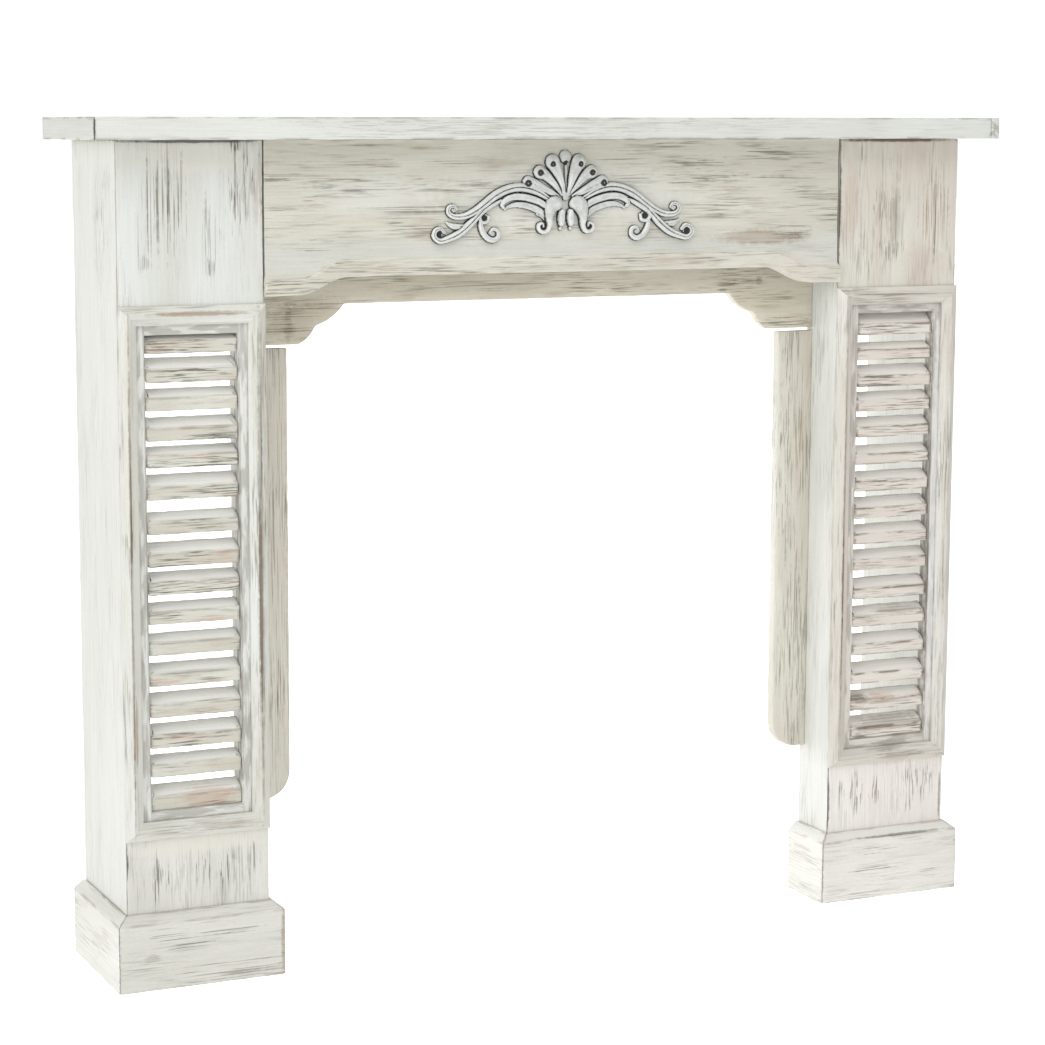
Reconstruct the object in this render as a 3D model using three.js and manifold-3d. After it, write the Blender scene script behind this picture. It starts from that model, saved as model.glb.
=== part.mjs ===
// Free-standing wooden mantelpiece: a shelf on two louvred legs, a frieze with a carved shell between
// them, and a shaped fascia and two wing boards behind the opening.
// Millimetres, +Z up, front towards -Y. The origin is on the floor, under the middle of the outer box.

import * as THREE from 'three';
import { mergeVertices } from 'three/addons/utils/BufferGeometryUtils.js';
import Module from 'manifold-3d';

const wasm = await Module();
wasm.setup();

// Overall sizes
const overallHeight = 1020;
const openingWidth = 776;
const legWidth = 177;
const sideDepth = 178;
const returnDepth = 74;
const boardThickness = 18;

// Joint left between two pieces that touch
const jointGap = 0.3;

// Shelf
const shelfThickness = 26;
const shelfOverhangFront = 40;
const shelfOverhangSide = 35;
const shelfEdging = 12;

// Plinth
const plinthHeight = 91;
const plinthThickness = 15;
const plinthBevelWidth = 12;
const plinthBevelHeight = 10;

// Panel of each leg: a shutter framed by a mitred moulding
const panelBottom = 179;
const headHeight = 189;
const mouldingWidth = 22;
const mouldingEdge = 3;
const mouldingRidge = 10;
const mouldingProud = 1;
const stileWidth = 32;
const railWidth = 31;

// Louvre slats
const slatCount = 16;
const slatDepth = 18;
const slatSetBack = 1.5;
const slatRounding = 1.6;
const slatClearance = 1;

// The slats were fitted by hand. Top drop is the first nose's depth below the opening's top. The lists
// say how far each slat sits above its even place, and how much more than the rise it leans back.
const louvres = {
  left: {
    nose: 15.5,
    rise: 11,
    topDrop: 25,
    lift: [0, 1.5, 5, 5.5, 10.5, 8.5, 4.5, 2, 5, 6.5, 5.5, 4.5, 3, 2, 4, 1],
    lean: [0, 4.5, 1, 3, 0, 5, 1, 4, 1.5, 0, 0.5, 2, 4, 4, 0.5, 3.5],
  },
  right: {
    nose: 14,
    rise: 12.5,
    topDrop: 33,
    lift: [0, 3.5, 4, 8, 9.5, 9.5, 9.5, 9, 11, 12, 9, 8, 5.5, 2.5, 2.5, 1],
    lean: [0, -2, 3.5, 0, 1, -0.5, 1, 3, 0.5, 1.5, 2.5, 1.5, 2.5, 2.5, 0.5, 3],
  },
};

// Frieze with a raised lip along its shaped lower edge
const friezeDrop = 181;
const archRise = 21;
const archFootInset = 39;
const archRun = 66;
const archSteps = 8;
const lipHeight = 20;
const lipProud = 7;
const lipRounding = 1.5;
const coveHeight = 14;
const coveSteps = 4;

// Rear fascia with a two-lobed bracket at each end
const fasciaThickness = 13;
const fasciaEndDrop = 243;
const bracketFoot = 66;
const lowerLobe = { width: 20.5, height: 20.5 };
const lobeStep = { width: 4.5, height: 2.5 };
const upperLobe = { width: 32.5, height: 24 };
const lobeBulge = 0.09;

// Wing boards below the fascia
const wingWidth = 50;
const wingThickness = 14;
const wingDrop = 4;
const wingBottom = 197;
const wingCorner = 35;

// Shell ornament on the frieze
const ornamentWidth = 355;
const ornamentRelief = 12;
const ornamentBaseDrop = 112;

// Heights and half widths that follow from the sizes above
const shelfBottom = overallHeight - shelfThickness;
const halfOpening = openingWidth / 2;
const halfBody = halfOpening + legWidth;
const panelTop = shelfBottom - headHeight;
const panelJointInset = mouldingWidth / 2;
const carcassTop = shelfBottom - jointGap;

// Finishes
const finishes = {
  whitewash: { color: 0xe6e4dc, roughness: 0.72, metalness: 0 },
  warmWash: { color: 0xd9d3c6, roughness: 0.75, metalness: 0 },
  taupeWash: { color: 0xbdb4a4, roughness: 0.78, metalness: 0 },
  ornamentPaint: { color: 0xd4d6d6, roughness: 0.55, metalness: 0 },
};

function named(name, geometry, finish) {
  const mesh = new THREE.Mesh(geometry, new THREE.MeshStandardMaterial(finishes[finish]));
  mesh.name = name;
  return mesh;
}

function signedVolume(positions, index) {
  const a = new THREE.Vector3();
  const b = new THREE.Vector3();
  const c = new THREE.Vector3();
  let volume = 0;
  for (let i = 0; i < index.length; i += 3) {
    a.fromArray(positions, index[i] * 3);
    b.fromArray(positions, index[i + 1] * 3);
    c.fromArray(positions, index[i + 2] * 3);
    volume += a.dot(b.cross(c)) / 6;
  }
  return volume;
}

function closedGeometry(positions, index) {
  const faces = index.slice();
  if (signedVolume(positions, faces) < 0) {
    faces.reverse();
  }
  const geometry = new THREE.BufferGeometry();
  geometry.setAttribute('position', new THREE.Float32BufferAttribute(positions, 3));
  geometry.setIndex(faces);
  return geometry;
}

// Skins a row of equal rings. The profile is the ring's flat outline, used for the end caps.
// A looped row, such as a frame, has no caps.
function loft(rings, profile, looped = false) {
  const count = profile.length;
  const positions = rings.flat().flatMap((point) => point.toArray());
  const index = [];
  const spans = looped ? rings.length : rings.length - 1;
  for (let r = 0; r < spans; r += 1) {
    const here = r * count;
    const there = ((r + 1) % rings.length) * count;
    for (let i = 0; i < count; i += 1) {
      const j = (i + 1) % count;
      index.push(here + i, there + i, there + j);
      index.push(here + i, there + j, here + j);
    }
  }
  if (!looped) {
    const outline = profile.map(([u, v]) => new THREE.Vector2(u, v));
    const turned = THREE.ShapeUtils.isClockWise(outline);
    const last = (rings.length - 1) * count;
    for (const [a, b, c] of THREE.ShapeUtils.triangulateShape(outline, [])) {
      index.push(...(turned ? [a, c, b] : [a, b, c]));
      index.push(...(turned ? [last + a, last + b, last + c] : [last + a, last + c, last + b]));
    }
  }
  return closedGeometry(positions, index);
}

// A board cut to an outline in plan and standing from one height to another.
function standing(outline, bottom, top) {
  const ring = (z) => outline.map(([x, y]) => new THREE.Vector3(x, y, z));
  return loft([ring(bottom), ring(top)], outline);
}

// A board cut to an outline seen from the front, with its faces at two depths.
function upright(outline, front, back) {
  const ring = (y) => outline.map(([x, z]) => new THREE.Vector3(x, y, z));
  return loft([ring(front), ring(back)], outline);
}

// A strip of constant section laid along X.
function lengthwise(profile, from, to) {
  const ring = (x) => profile.map(([y, z]) => new THREE.Vector3(x, y, z));
  return loft([ring(from), ring(to)], profile);
}

function rectangle(x0, y0, x1, y1) {
  return [[x0, y0], [x1, y0], [x1, y1], [x0, y1]];
}

function mirrored(outline) {
  return outline.map(([x, y]) => [-x, y]).reverse();
}

// Points of an elliptical quarter turn, from one angle to another in degrees.
function quarterTurn(centre, radii, fromAngle, toAngle, steps) {
  const points = [];
  for (let i = 0; i <= steps; i += 1) {
    const angle = THREE.MathUtils.degToRad(THREE.MathUtils.lerp(fromAngle, toAngle, i / steps));
    points.push([centre[0] + radii[0] * Math.cos(angle), centre[1] + radii[1] * Math.sin(angle)]);
  }
  return points;
}

// Points of a shallow arc between two corners. Bulge is how far it stands out to the left of its way,
// as a share of the straight line between the corners.
function shallowArc(start, end, bulge, steps) {
  const from = new THREE.Vector2(...start);
  const chord = new THREE.Vector2(...end).sub(from);
  const left = new THREE.Vector2(-chord.y, chord.x);
  return Array.from({ length: steps + 1 }, (_, i) => {
    const t = i / steps;
    const out = 4 * bulge * t * (1 - t);
    return from.clone().addScaledVector(chord, t).addScaledVector(left, out).toArray();
  });
}

function toSolid(geometry) {
  const bare = geometry.clone();
  bare.deleteAttribute('normal');
  bare.deleteAttribute('uv');
  const merged = mergeVertices(bare, 1e-4);
  return new wasm.Manifold(new wasm.Mesh({
    numProp: 3,
    vertProperties: new Float32Array(merged.attributes.position.array),
    triVerts: new Uint32Array(merged.index.array),
  }));
}

function fromSolid(solid) {
  const mesh = solid.getMesh();
  const geometry = new THREE.BufferGeometry();
  geometry.setAttribute('position', new THREE.Float32BufferAttribute(mesh.vertProperties, 3));
  geometry.setIndex(Array.from(mesh.triVerts));
  return geometry;
}

// Shelf: a core board edged with strips on three sides, mitred at the left front corner.
function shelf() {
  const end = halfBody + shelfOverhangSide;
  const front = -shelfOverhangFront;
  const core = end - shelfEdging - jointGap;
  const mitre = jointGap;
  const frontEdge = [
    [-end + mitre, front],
    [end - shelfEdging - jointGap, front],
    [end - shelfEdging - jointGap, front + shelfEdging],
    [-end + shelfEdging + mitre, front + shelfEdging],
  ];
  const leftEdge = [
    [-end, front + mitre],
    [-end + shelfEdging, front + shelfEdging + mitre],
    [-end + shelfEdging, sideDepth],
    [-end, sideDepth],
  ];
  const rightEdge = rectangle(end - shelfEdging, front, end, sideDepth);
  const top = rectangle(-core, front + shelfEdging + jointGap, core, sideDepth);
  const slab = (outline) => standing(outline, shelfBottom, overallHeight);
  return [
    named('shelf_top', slab(top), 'whitewash'),
    named('shelf_edge_front', slab(frontEdge), 'whitewash'),
    named('shelf_edge_left', slab(leftEdge), 'whitewash'),
    named('shelf_edge_right', slab(rightEdge), 'whitewash'),
  ];
}

// Height of the frieze's lower edge at a place along its length.
function friezeEdge(x) {
  const foot = halfOpening - archFootInset;
  const along = THREE.MathUtils.clamp((foot - Math.abs(x)) / archRun, 0, 1);
  const ease = (1 - Math.cos(Math.PI * along)) / 2;
  return shelfBottom - friezeDrop + archRise * ease;
}

// Section of the frieze: back, lip, cove above the lip and flat face, from the back's foot round.
function friezeSection(x) {
  const edge = friezeEdge(x);
  const lipTop = edge + lipHeight;
  const coveTop = shelfBottom - friezeDrop + archRise + lipHeight + coveHeight;
  const section = [
    [boardThickness, edge],
    [-lipProud + lipRounding, edge],
    [-lipProud, edge + lipRounding],
    [-lipProud, lipTop - lipRounding],
  ];
  for (let i = 0; i <= coveSteps; i += 1) {
    const t = i / coveSteps;
    const reach = (lipProud - lipRounding) * (1 - t) ** 2;
    section.push([-reach, THREE.MathUtils.lerp(lipTop, coveTop, t)]);
  }
  section.push([0, carcassTop], [boardThickness, carcassTop]);
  return section;
}

function frieze() {
  const end = halfOpening - jointGap;
  const foot = halfOpening - archFootInset;
  const stations = [-end];
  for (let i = 0; i <= archSteps; i += 1) {
    stations.push(-foot + (archRun * i) / archSteps);
  }
  for (let i = archSteps; i >= 0; i -= 1) {
    stations.push(foot - (archRun * i) / archSteps);
  }
  stations.push(end);
  const rings = stations.map((x) => friezeSection(x).map(([y, z]) => new THREE.Vector3(x, y, z)));
  return named('frieze', loft(rings, friezeSection(end)), 'warmWash');
}

function rearFascia() {
  const end = halfOpening - jointGap;
  const low = shelfBottom - fasciaEndDrop;
  const foot = [halfOpening - bracketFoot, low];
  const beforeStep = [foot[0] - lowerLobe.width, foot[1] + lowerLobe.height];
  const afterStep = [beforeStep[0] - lobeStep.width, beforeStep[1] + lobeStep.height];
  const crown = [afterStep[0] - upperLobe.width, afterStep[1] + upperLobe.height];
  const half = [
    [end, carcassTop],
    [end, low],
    ...shallowArc(foot, beforeStep, lobeBulge, 6),
    ...shallowArc(afterStep, crown, lobeBulge, 6),
  ];
  const outline = [...half, ...mirrored(half)];
  const back = returnDepth;
  return named('rear_fascia', upright(outline, back - fasciaThickness, back), 'taupeWash');
}

function wingBoard(side) {
  const outer = halfOpening - jointGap;
  const inner = halfOpening - wingWidth;
  const top = shelfBottom - fasciaEndDrop - wingDrop;
  const centre = [inner + wingCorner, wingBottom + wingCorner];
  const corner = quarterTurn(centre, [wingCorner, wingCorner], 180, 270, 8);
  const outline = [[outer, wingBottom], [outer, top], [inner, top], ...corner];
  const placed = side === 'left' ? mirrored(outline) : outline;
  return named(`${side}_wing`, upright(placed, returnDepth - wingThickness, returnDepth), 'warmWash');
}

// Side boards of a leg, mitred to the front boards along both front corners.
function legSides(side, sign) {
  const inside = halfOpening;
  const outside = halfBody;
  const slack = jointGap * Math.SQRT2;
  const outerBoard = [
    [outside, slack],
    [outside, sideDepth],
    [outside - boardThickness, sideDepth],
    [outside - boardThickness, boardThickness + slack],
  ];
  const innerBoard = [
    [inside, slack],
    [inside, returnDepth],
    [inside + boardThickness, returnDepth],
    [inside + boardThickness, boardThickness + slack],
  ];
  const place = (outline) => (sign < 0 ? mirrored(outline) : outline);
  return [
    named(`${side}_outer_side`, standing(place(outerBoard), 0, carcassTop), 'whitewash'),
    named(`${side}_inner_side`, standing(place(innerBoard), 0, carcassTop), 'whitewash'),
  ];
}

// Plan of a front board, wide at the face and mitred back at both ends.
function frontPlan(sign) {
  const outline = [
    [halfOpening, 0],
    [halfBody, 0],
    [halfBody - boardThickness, boardThickness],
    [halfOpening + boardThickness, boardThickness],
  ];
  return sign < 0 ? mirrored(outline) : outline;
}

// Inner edges of the shutter's opening, as distances from the middle of the object and from the floor.
function shutterOpening() {
  return {
    near: halfOpening + stileWidth,
    far: halfBody - stileWidth,
    bottom: panelBottom + railWidth,
    top: panelTop - railWidth,
  };
}

function legFront(side, sign) {
  const plan = frontPlan(sign);
  const footTop = panelBottom + panelJointInset;
  const headBottom = panelTop - panelJointInset;
  const hole = shutterOpening();
  const blank = toSolid(standing(plan, footTop + jointGap, headBottom - jointGap));
  const cut = rectangle(sign * hole.near, -boardThickness, sign * hole.far, boardThickness * 2);
  const shutter = blank.subtract(toSolid(standing(cut, hole.bottom, hole.top)));
  return [
    named(`${side}_head_board`, standing(plan, headBottom, carcassTop), 'whitewash'),
    named(`${side}_foot_board`, standing(plan, 0, footTop), 'whitewash'),
    named(`${side}_shutter_frame`, fromSolid(shutter), 'whitewash'),
  ];
}

// Mitred picture moulding: a ridge along its middle, laid flat on the front of the leg.
function panelMoulding(side, sign) {
  const profile = [
    [0, jointGap],
    [0, mouldingEdge],
    [mouldingWidth / 2 - 1, mouldingRidge],
    [mouldingWidth / 2 + 1, mouldingRidge],
    [mouldingWidth, mouldingEdge],
    [mouldingWidth, jointGap],
  ];
  const corners = [
    { x: halfOpening - mouldingProud, z: panelBottom, dx: 1, dz: 1 },
    { x: halfBody + mouldingProud, z: panelBottom, dx: -1, dz: 1 },
    { x: halfBody + mouldingProud, z: panelTop, dx: -1, dz: -1 },
    { x: halfOpening - mouldingProud, z: panelTop, dx: 1, dz: -1 },
  ];
  const rings = corners.map(({ x, z, dx, dz }) => profile.map(([inward, height]) => (
    new THREE.Vector3(sign * (x + dx * inward), -height, z + dz * inward)
  )));
  return named(`${side}_panel_moulding`, loft(rings, profile, true), 'whitewash');
}

// A slat leans back from an upright nose. Its section starts at the nose's lower edge.
function slatSection(noseBottom, nose, rise) {
  const front = slatSetBack;
  const back = slatSetBack + slatDepth;
  const r = slatRounding;
  return [
    [front + r, noseBottom + (rise * r) / slatDepth],
    [front, noseBottom + r],
    [front, noseBottom + nose - r],
    [front + r, noseBottom + nose + (rise * r) / slatDepth],
    [back, noseBottom + nose + rise],
    [back, noseBottom + rise],
  ];
}

// The first slat leans back until it meets the rail above it.
function slats(side, sign) {
  const hole = shutterOpening();
  const { nose, rise, topDrop, lift, lean } = louvres[side];
  const highest = hole.top - topDrop;
  const lowest = hole.bottom + slatClearance;
  const pitch = (highest - lowest) / (slatCount - 1);
  const near = sign * (hole.near + jointGap);
  const far = sign * (hole.far - jointGap);
  return Array.from({ length: slatCount }, (_, i) => {
    const noseBottom = highest - pitch * i + (lift[i] ?? 0);
    const climb = i === 0 ? topDrop - nose - slatClearance : rise + (lean[i] ?? 0);
    const number = String(i + 1).padStart(2, '0');
    const section = slatSection(noseBottom, nose, climb);
    return named(`${side}_slat_${number}`, lengthwise(section, near, far), 'whitewash');
  });
}

// One board of a plinth, along the leg's face from one corner to the next, with mitred ends.
function plinthBoard(name, from, to, mitres) {
  const start = new THREE.Vector2(...from);
  const end = new THREE.Vector2(...to);
  const along = end.clone().sub(start).normalize();
  const outward = new THREE.Vector2(along.y, -along.x);
  const profile = [
    [jointGap, 0],
    [plinthThickness, 0],
    [plinthThickness, plinthHeight - plinthBevelHeight],
    [plinthThickness - plinthBevelWidth, plinthHeight],
    [jointGap, plinthHeight],
  ];
  const ring = (corner, direction, mitred) => profile.map(([out, z]) => {
    const slide = mitred ? out - jointGap : 0;
    const point = corner.clone().addScaledVector(outward, out).addScaledVector(along, direction * slide);
    return new THREE.Vector3(point.x, point.y, z);
  });
  return named(name, loft([ring(start, -1, mitres[0]), ring(end, 1, mitres[1])], profile), 'whitewash');
}

function plinth(side, sign) {
  const place = ([x, y]) => [sign * x, y];
  const outerBack = place([halfBody, sideDepth]);
  const outerFront = place([halfBody, 0]);
  const innerFront = place([halfOpening, 0]);
  const innerBack = place([halfOpening, returnDepth]);
  if (sign < 0) {
    return [
      plinthBoard(`${side}_plinth_outer`, outerBack, outerFront, [false, true]),
      plinthBoard(`${side}_plinth_front`, outerFront, innerFront, [true, true]),
      plinthBoard(`${side}_plinth_inner`, innerFront, innerBack, [true, false]),
    ];
  }
  return [
    plinthBoard(`${side}_plinth_inner`, innerBack, innerFront, [false, true]),
    plinthBoard(`${side}_plinth_front`, innerFront, outerFront, [true, true]),
    plinthBoard(`${side}_plinth_outer`, outerFront, outerBack, [true, false]),
  ];
}

function leg(side, sign) {
  return [
    ...legSides(side, sign),
    ...legFront(side, sign),
    panelMoulding(side, sign),
    ...slats(side, sign),
    ...plinth(side, sign),
  ];
}

// Carved ornament. Its drawing has X to the right and Z up from the foot of the shell, and is made
// for the right half. Widths are half widths, and heights stand out from the frieze.
const drawn = { width: 355, relief: 12 };
const carvingSection = [[-1, 0], [-0.72, 0.62], [0, 1], [0.72, 0.62], [1, 0]];

// A place in the drawing, brought to the ornament's own size and laid on the frieze.
function onFrieze(x, height, z) {
  const across = ornamentWidth / drawn.width;
  const out = ornamentRelief / drawn.relief;
  return new THREE.Vector3(x * across, -jointGap - height * out, z * across);
}

function carvedRib(path, widths, heights, sign) {
  const rings = path.map((point, i) => {
    const before = path[Math.max(i - 1, 0)];
    const after = path[Math.min(i + 1, path.length - 1)];
    const along = after.clone().sub(before).normalize();
    const across = new THREE.Vector2(along.y, -along.x);
    return carvingSection.map(([u, v]) => onFrieze(
      sign * (point.x + across.x * u * widths[i]),
      v * heights[i],
      point.y + across.y * u * widths[i],
    ));
  });
  return toSolid(loft(rings, carvingSection));
}

function smoothPath(points, steps) {
  const curve = new THREE.SplineCurve(points.map(([x, z]) => new THREE.Vector2(x, z)));
  return curve.getPoints(steps);
}

// A spiral about an eye. Angles are in degrees, and the radius shrinks along the turn.
function spiral({ eye, radius, tightness, start, turn }, steps) {
  return Array.from({ length: steps + 1 }, (_, i) => {
    const t = i / steps;
    const angle = THREE.MathUtils.degToRad(start + turn * t);
    const reach = radius * THREE.MathUtils.lerp(1, tightness, t);
    return new THREE.Vector2(eye[0] + reach * Math.cos(angle), eye[1] + reach * Math.sin(angle));
  });
}

// A stem along a few points that may end in a scroll. Width and height run from start to end.
function stem({ points, steps, scroll, scrollSteps = 9, width, height }, sign) {
  const path = smoothPath(points, steps);
  if (scroll) {
    path.push(...spiral(scroll, scrollSteps));
  }
  const blend = (values, t) => {
    const place = t * (values.length - 1);
    const low = Math.min(Math.floor(place), values.length - 2);
    return THREE.MathUtils.lerp(values[low], values[low + 1], place - low);
  };
  const widths = path.map((_, i) => blend(width, i / (path.length - 1)));
  const heights = path.map((_, i) => blend(height, i / (path.length - 1)));
  return carvedRib(path, widths, heights, sign);
}

// A low dome with an oval plan, for buds, petals and the eyes of scrolls.
function boss({ at: [x, z], size: [width, length], height, tilt = 0 }, sign = 1) {
  const sides = 10;
  const tiers = [[1, 0], [0.92, 0.5], [0.6, 0.85], [0.15, 1]];
  const angle = THREE.MathUtils.degToRad(tilt);
  const outline = Array.from({ length: sides }, (_, i) => {
    const turn = (2 * Math.PI * i) / sides;
    return [Math.cos(turn), Math.sin(turn)];
  });
  const rings = tiers.map(([scale, rise]) => outline.map(([u, v]) => {
    const across = u * width * scale;
    const up = v * length * scale;
    return onFrieze(
      sign * (x + across * Math.cos(angle) - up * Math.sin(angle)),
      rise * height,
      z + across * Math.sin(angle) + up * Math.cos(angle),
    );
  }));
  return toSolid(loft(rings, outline));
}

// Flutes of the shell, from its foot to the curled lobe that ends each of them.
const shellFlutes = [
  { eye: [19, 84], bend: [6, 62], radius: 6.6, start: 158, width: [2.2, 6, 5.2, 2.6] },
  { eye: [35, 74], bend: [16, 54], radius: 5.8, start: 140, width: [2.2, 5.4, 4.6, 2.3] },
  { eye: [50, 62], bend: [27, 46], radius: 5.6, start: 122, width: [2.2, 5.2, 4.4, 2.2] },
];

// Stems of one half: the long arm and its curl, its lower branch, the eyed scroll with its tail,
// the finger under the arm and the volute beside the foot.
const armStems = [
  {
    points: [[20, 30], [32, 41], [48, 51], [67, 55], [87, 49], [103, 39], [118, 27], [133, 21.5]],
    steps: 16,
    scroll: { eye: [147.5, 31], radius: 8.6, tightness: 0.25, start: -100, turn: 330 },
    width: [5, 7, 8, 7, 6, 4.2, 3.4, 2.6, 2],
    height: [8, 9, 9, 8, 7, 6, 5.5, 5, 4],
  },
  {
    points: [[104, 36], [116, 22], [128, 7], [142, -3.5], [158, -8]],
    steps: 8,
    scroll: { eye: [166.5, 1.5], radius: 9.8, tightness: 0.42, start: -90, turn: 290 },
    width: [5, 5, 4.6, 4, 3.2, 2.8, 2.2],
    height: [7, 7, 7, 6.5, 6, 5.5, 5],
  },
  {
    points: [[86, 46], [98, 37], [108, 30]],
    steps: 4,
    scroll: { eye: [107.4, 21.5], radius: 7, tightness: 0.6, start: 40, turn: -300 },
    width: [3, 3.4, 3.4, 3, 2.4],
    height: [8, 8, 7.5, 6.5, 5.5],
  },
  {
    points: [[108, 15], [109.5, 6], [108, -3]],
    steps: 3,
    scroll: { eye: [98.5, -1.5], radius: 8.4, tightness: 0.3, start: -12, turn: -400 },
    scrollSteps: 12,
    width: [2.6, 3.4, 3.6, 3.2, 2.4, 2],
    height: [5.5, 6.5, 6.5, 6, 5],
  },
  {
    points: [[24, 30], [40, 38], [56, 43], [72, 43.5], [83, 39], [87, 33]],
    steps: 10,
    width: [5, 5.6, 5.4, 4.8, 3.6, 1.8],
    height: [9, 10.5, 10.5, 9.5, 8, 5],
  },
  {
    points: [[138, -2], [145, 3], [149, 8.5], [146, 12]],
    steps: 5,
    width: [3, 3.4, 3, 1.6],
    height: [6, 5.5, 5, 4],
  },
  {
    points: [[27, 30], [31, 20], [33, 15]],
    steps: 4,
    scroll: { eye: [33, 8], radius: 7, tightness: 0.3, start: 60, turn: -380 },
    scrollSteps: 11,
    width: [3, 3.6, 3.2, 2.6, 2],
    height: [8, 8, 7, 6, 5],
  },
];

const halfBosses = [
  { at: [16, 36], size: [12, 12.5], height: 12 },
  { at: [19, 25], size: [7, 12], height: 10.5, tilt: -24 },
  { at: [7.6, 17], size: [5, 10.5], height: 10, tilt: 4 },
  { at: [6.5, 3.5], size: [4, 4], height: 6 },
  { at: [147.5, 31], size: [3, 3], height: 5 },
  { at: [33, 8], size: [3.2, 3.2], height: 6 },
  { at: [98.5, -1.5], size: [3, 3], height: 5.5 },
];

function shellFlute({ eye, bend, radius, start, width }, sign) {
  const angle = THREE.MathUtils.degToRad(start);
  const crown = [eye[0] + radius * Math.cos(angle), eye[1] + radius * Math.sin(angle)];
  const flute = {
    points: [[1.5, 30], bend, crown],
    steps: 6,
    scroll: { eye, radius, tightness: 0.7, start: start - 20, turn: -250 },
    scrollSteps: 7,
    width,
    height: [10, 9, 8, 6.5],
  };
  return stem(flute, sign);
}

// Domes on the middle line: the top lobe and the ground that the flutes and petals lie on.
const middleBosses = [
  { at: [0, 88], size: [9.5, 11.5], height: 6 },
  { at: [0, 60], size: [34, 26], height: 3 },
  { at: [0, 24], size: [24, 26], height: 4 },
  { at: [0, 8], size: [7, 8], height: 4 },
];

function ornament() {
  const half = (sign) => [
    ...shellFlutes.map((flute) => shellFlute(flute, sign)),
    ...armStems.map((arm) => stem(arm, sign)),
    ...halfBosses.map((dome) => boss(dome, sign)),
  ];
  const parts = [...middleBosses.map((dome) => boss(dome)), ...half(1), ...half(-1)];
  const whole = parts.reduce((sum, part) => sum.add(part));
  const mesh = named('ornament', fromSolid(whole), 'ornamentPaint');
  mesh.position.z = shelfBottom - ornamentBaseDrop;
  return mesh;
}

const mantelpiece = new THREE.Group();
mantelpiece.add(
  ...shelf(),
  frieze(),
  ornament(),
  rearFascia(),
  wingBoard('left'),
  wingBoard('right'),
  ...leg('left', -1),
  ...leg('right', 1),
);
mantelpiece.position.y = -(sideDepth - shelfOverhangFront) / 2;

export default mantelpiece;
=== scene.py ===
# A free-standing whitewashed mantelpiece: a shelf on two louvred legs, a frieze with a carved shell,
# and a shaped fascia and two wing boards behind the hearth opening.

import math
import zlib

import bmesh
import bpy
import numpy as np
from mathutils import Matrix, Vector, noise


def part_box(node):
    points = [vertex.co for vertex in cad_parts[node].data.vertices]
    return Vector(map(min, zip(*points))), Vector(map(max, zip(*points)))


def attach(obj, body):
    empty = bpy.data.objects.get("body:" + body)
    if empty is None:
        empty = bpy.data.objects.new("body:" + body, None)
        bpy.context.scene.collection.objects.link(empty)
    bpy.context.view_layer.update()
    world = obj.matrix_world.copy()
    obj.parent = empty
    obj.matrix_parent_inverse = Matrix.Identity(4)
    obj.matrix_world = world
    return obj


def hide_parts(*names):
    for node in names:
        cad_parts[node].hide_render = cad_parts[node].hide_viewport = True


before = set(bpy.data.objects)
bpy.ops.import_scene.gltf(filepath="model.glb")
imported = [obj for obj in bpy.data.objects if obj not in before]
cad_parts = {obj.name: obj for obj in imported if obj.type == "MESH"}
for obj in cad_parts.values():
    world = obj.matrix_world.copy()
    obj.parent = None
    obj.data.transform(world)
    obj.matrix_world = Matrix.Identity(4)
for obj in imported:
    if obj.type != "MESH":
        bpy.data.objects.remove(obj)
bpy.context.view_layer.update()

LEGS = {"left": -1, "right": 1}
SLATS = 16
NOSES = {"left": 0.0155, "right": 0.014}  # height of a louvre's upright nose

# Sizes in metres, read from the boards: the front of the legs, how thick a board is, and half the opening
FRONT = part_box("left_head_board")[0].y
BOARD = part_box("left_head_board")[1].y - FRONT
HALF_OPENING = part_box("right_inner_side")[0].x


# Handling of meshes

def deselect():
    """Leaves object mode with nothing selected."""
    if bpy.context.object and bpy.context.object.mode != "OBJECT":
        bpy.ops.object.mode_set(mode="OBJECT")
    bpy.ops.object.select_all(action="DESELECT")


def hold(piece):
    """Makes a piece the only one selected."""
    deselect()
    piece.select_set(True)
    bpy.context.view_layer.objects.active = piece
    return piece


def blank(name, low, high):
    """A cube at its place and size, to be worked into a board."""
    deselect()
    low, high = Vector(low), Vector(high)
    bpy.ops.mesh.primitive_cube_add(size=1, location=(low + high) / 2, scale=high - low)
    bpy.ops.object.transform_apply(location=True, rotation=True, scale=True)
    piece = bpy.context.object
    piece.name = piece.data.name = name
    return piece


def pick(piece, kind, test):
    """Selects in edit mode the corners, edges or faces that pass a test."""
    hold(piece)
    bpy.ops.object.mode_set(mode="EDIT")
    bpy.ops.mesh.select_mode(type=kind)
    bpy.ops.mesh.select_all(action="DESELECT")
    shape = bmesh.from_edit_mesh(piece.data)
    parts = {"VERT": shape.verts, "EDGE": shape.edges, "FACE": shape.faces}[kind]
    for part in parts:
        if test(part):
            part.select_set(True)
    shape.select_flush_mode()
    bmesh.update_edit_mesh(piece.data)


def slide(piece, test, move):
    """Moves the corners whose places pass a test."""
    pick(piece, "VERT", lambda v: test(v.co))
    bpy.ops.transform.translate(value=move)
    bpy.ops.object.mode_set(mode="OBJECT")


def near(a, b, reach=2e-4):
    """Says whether two lengths are the same, but for rounding."""
    return abs(a - b) < reach


def arrises(piece, angle=25):
    """The two ends of every sharp edge of a piece."""
    shape = bmesh.new()
    shape.from_mesh(piece.data)
    limit = math.radians(angle)
    found = [(e.verts[0].co[:], e.verts[1].co[:]) for e in shape.edges if e.calc_face_angle(0) > limit]
    shape.free()
    return np.array(found)


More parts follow.
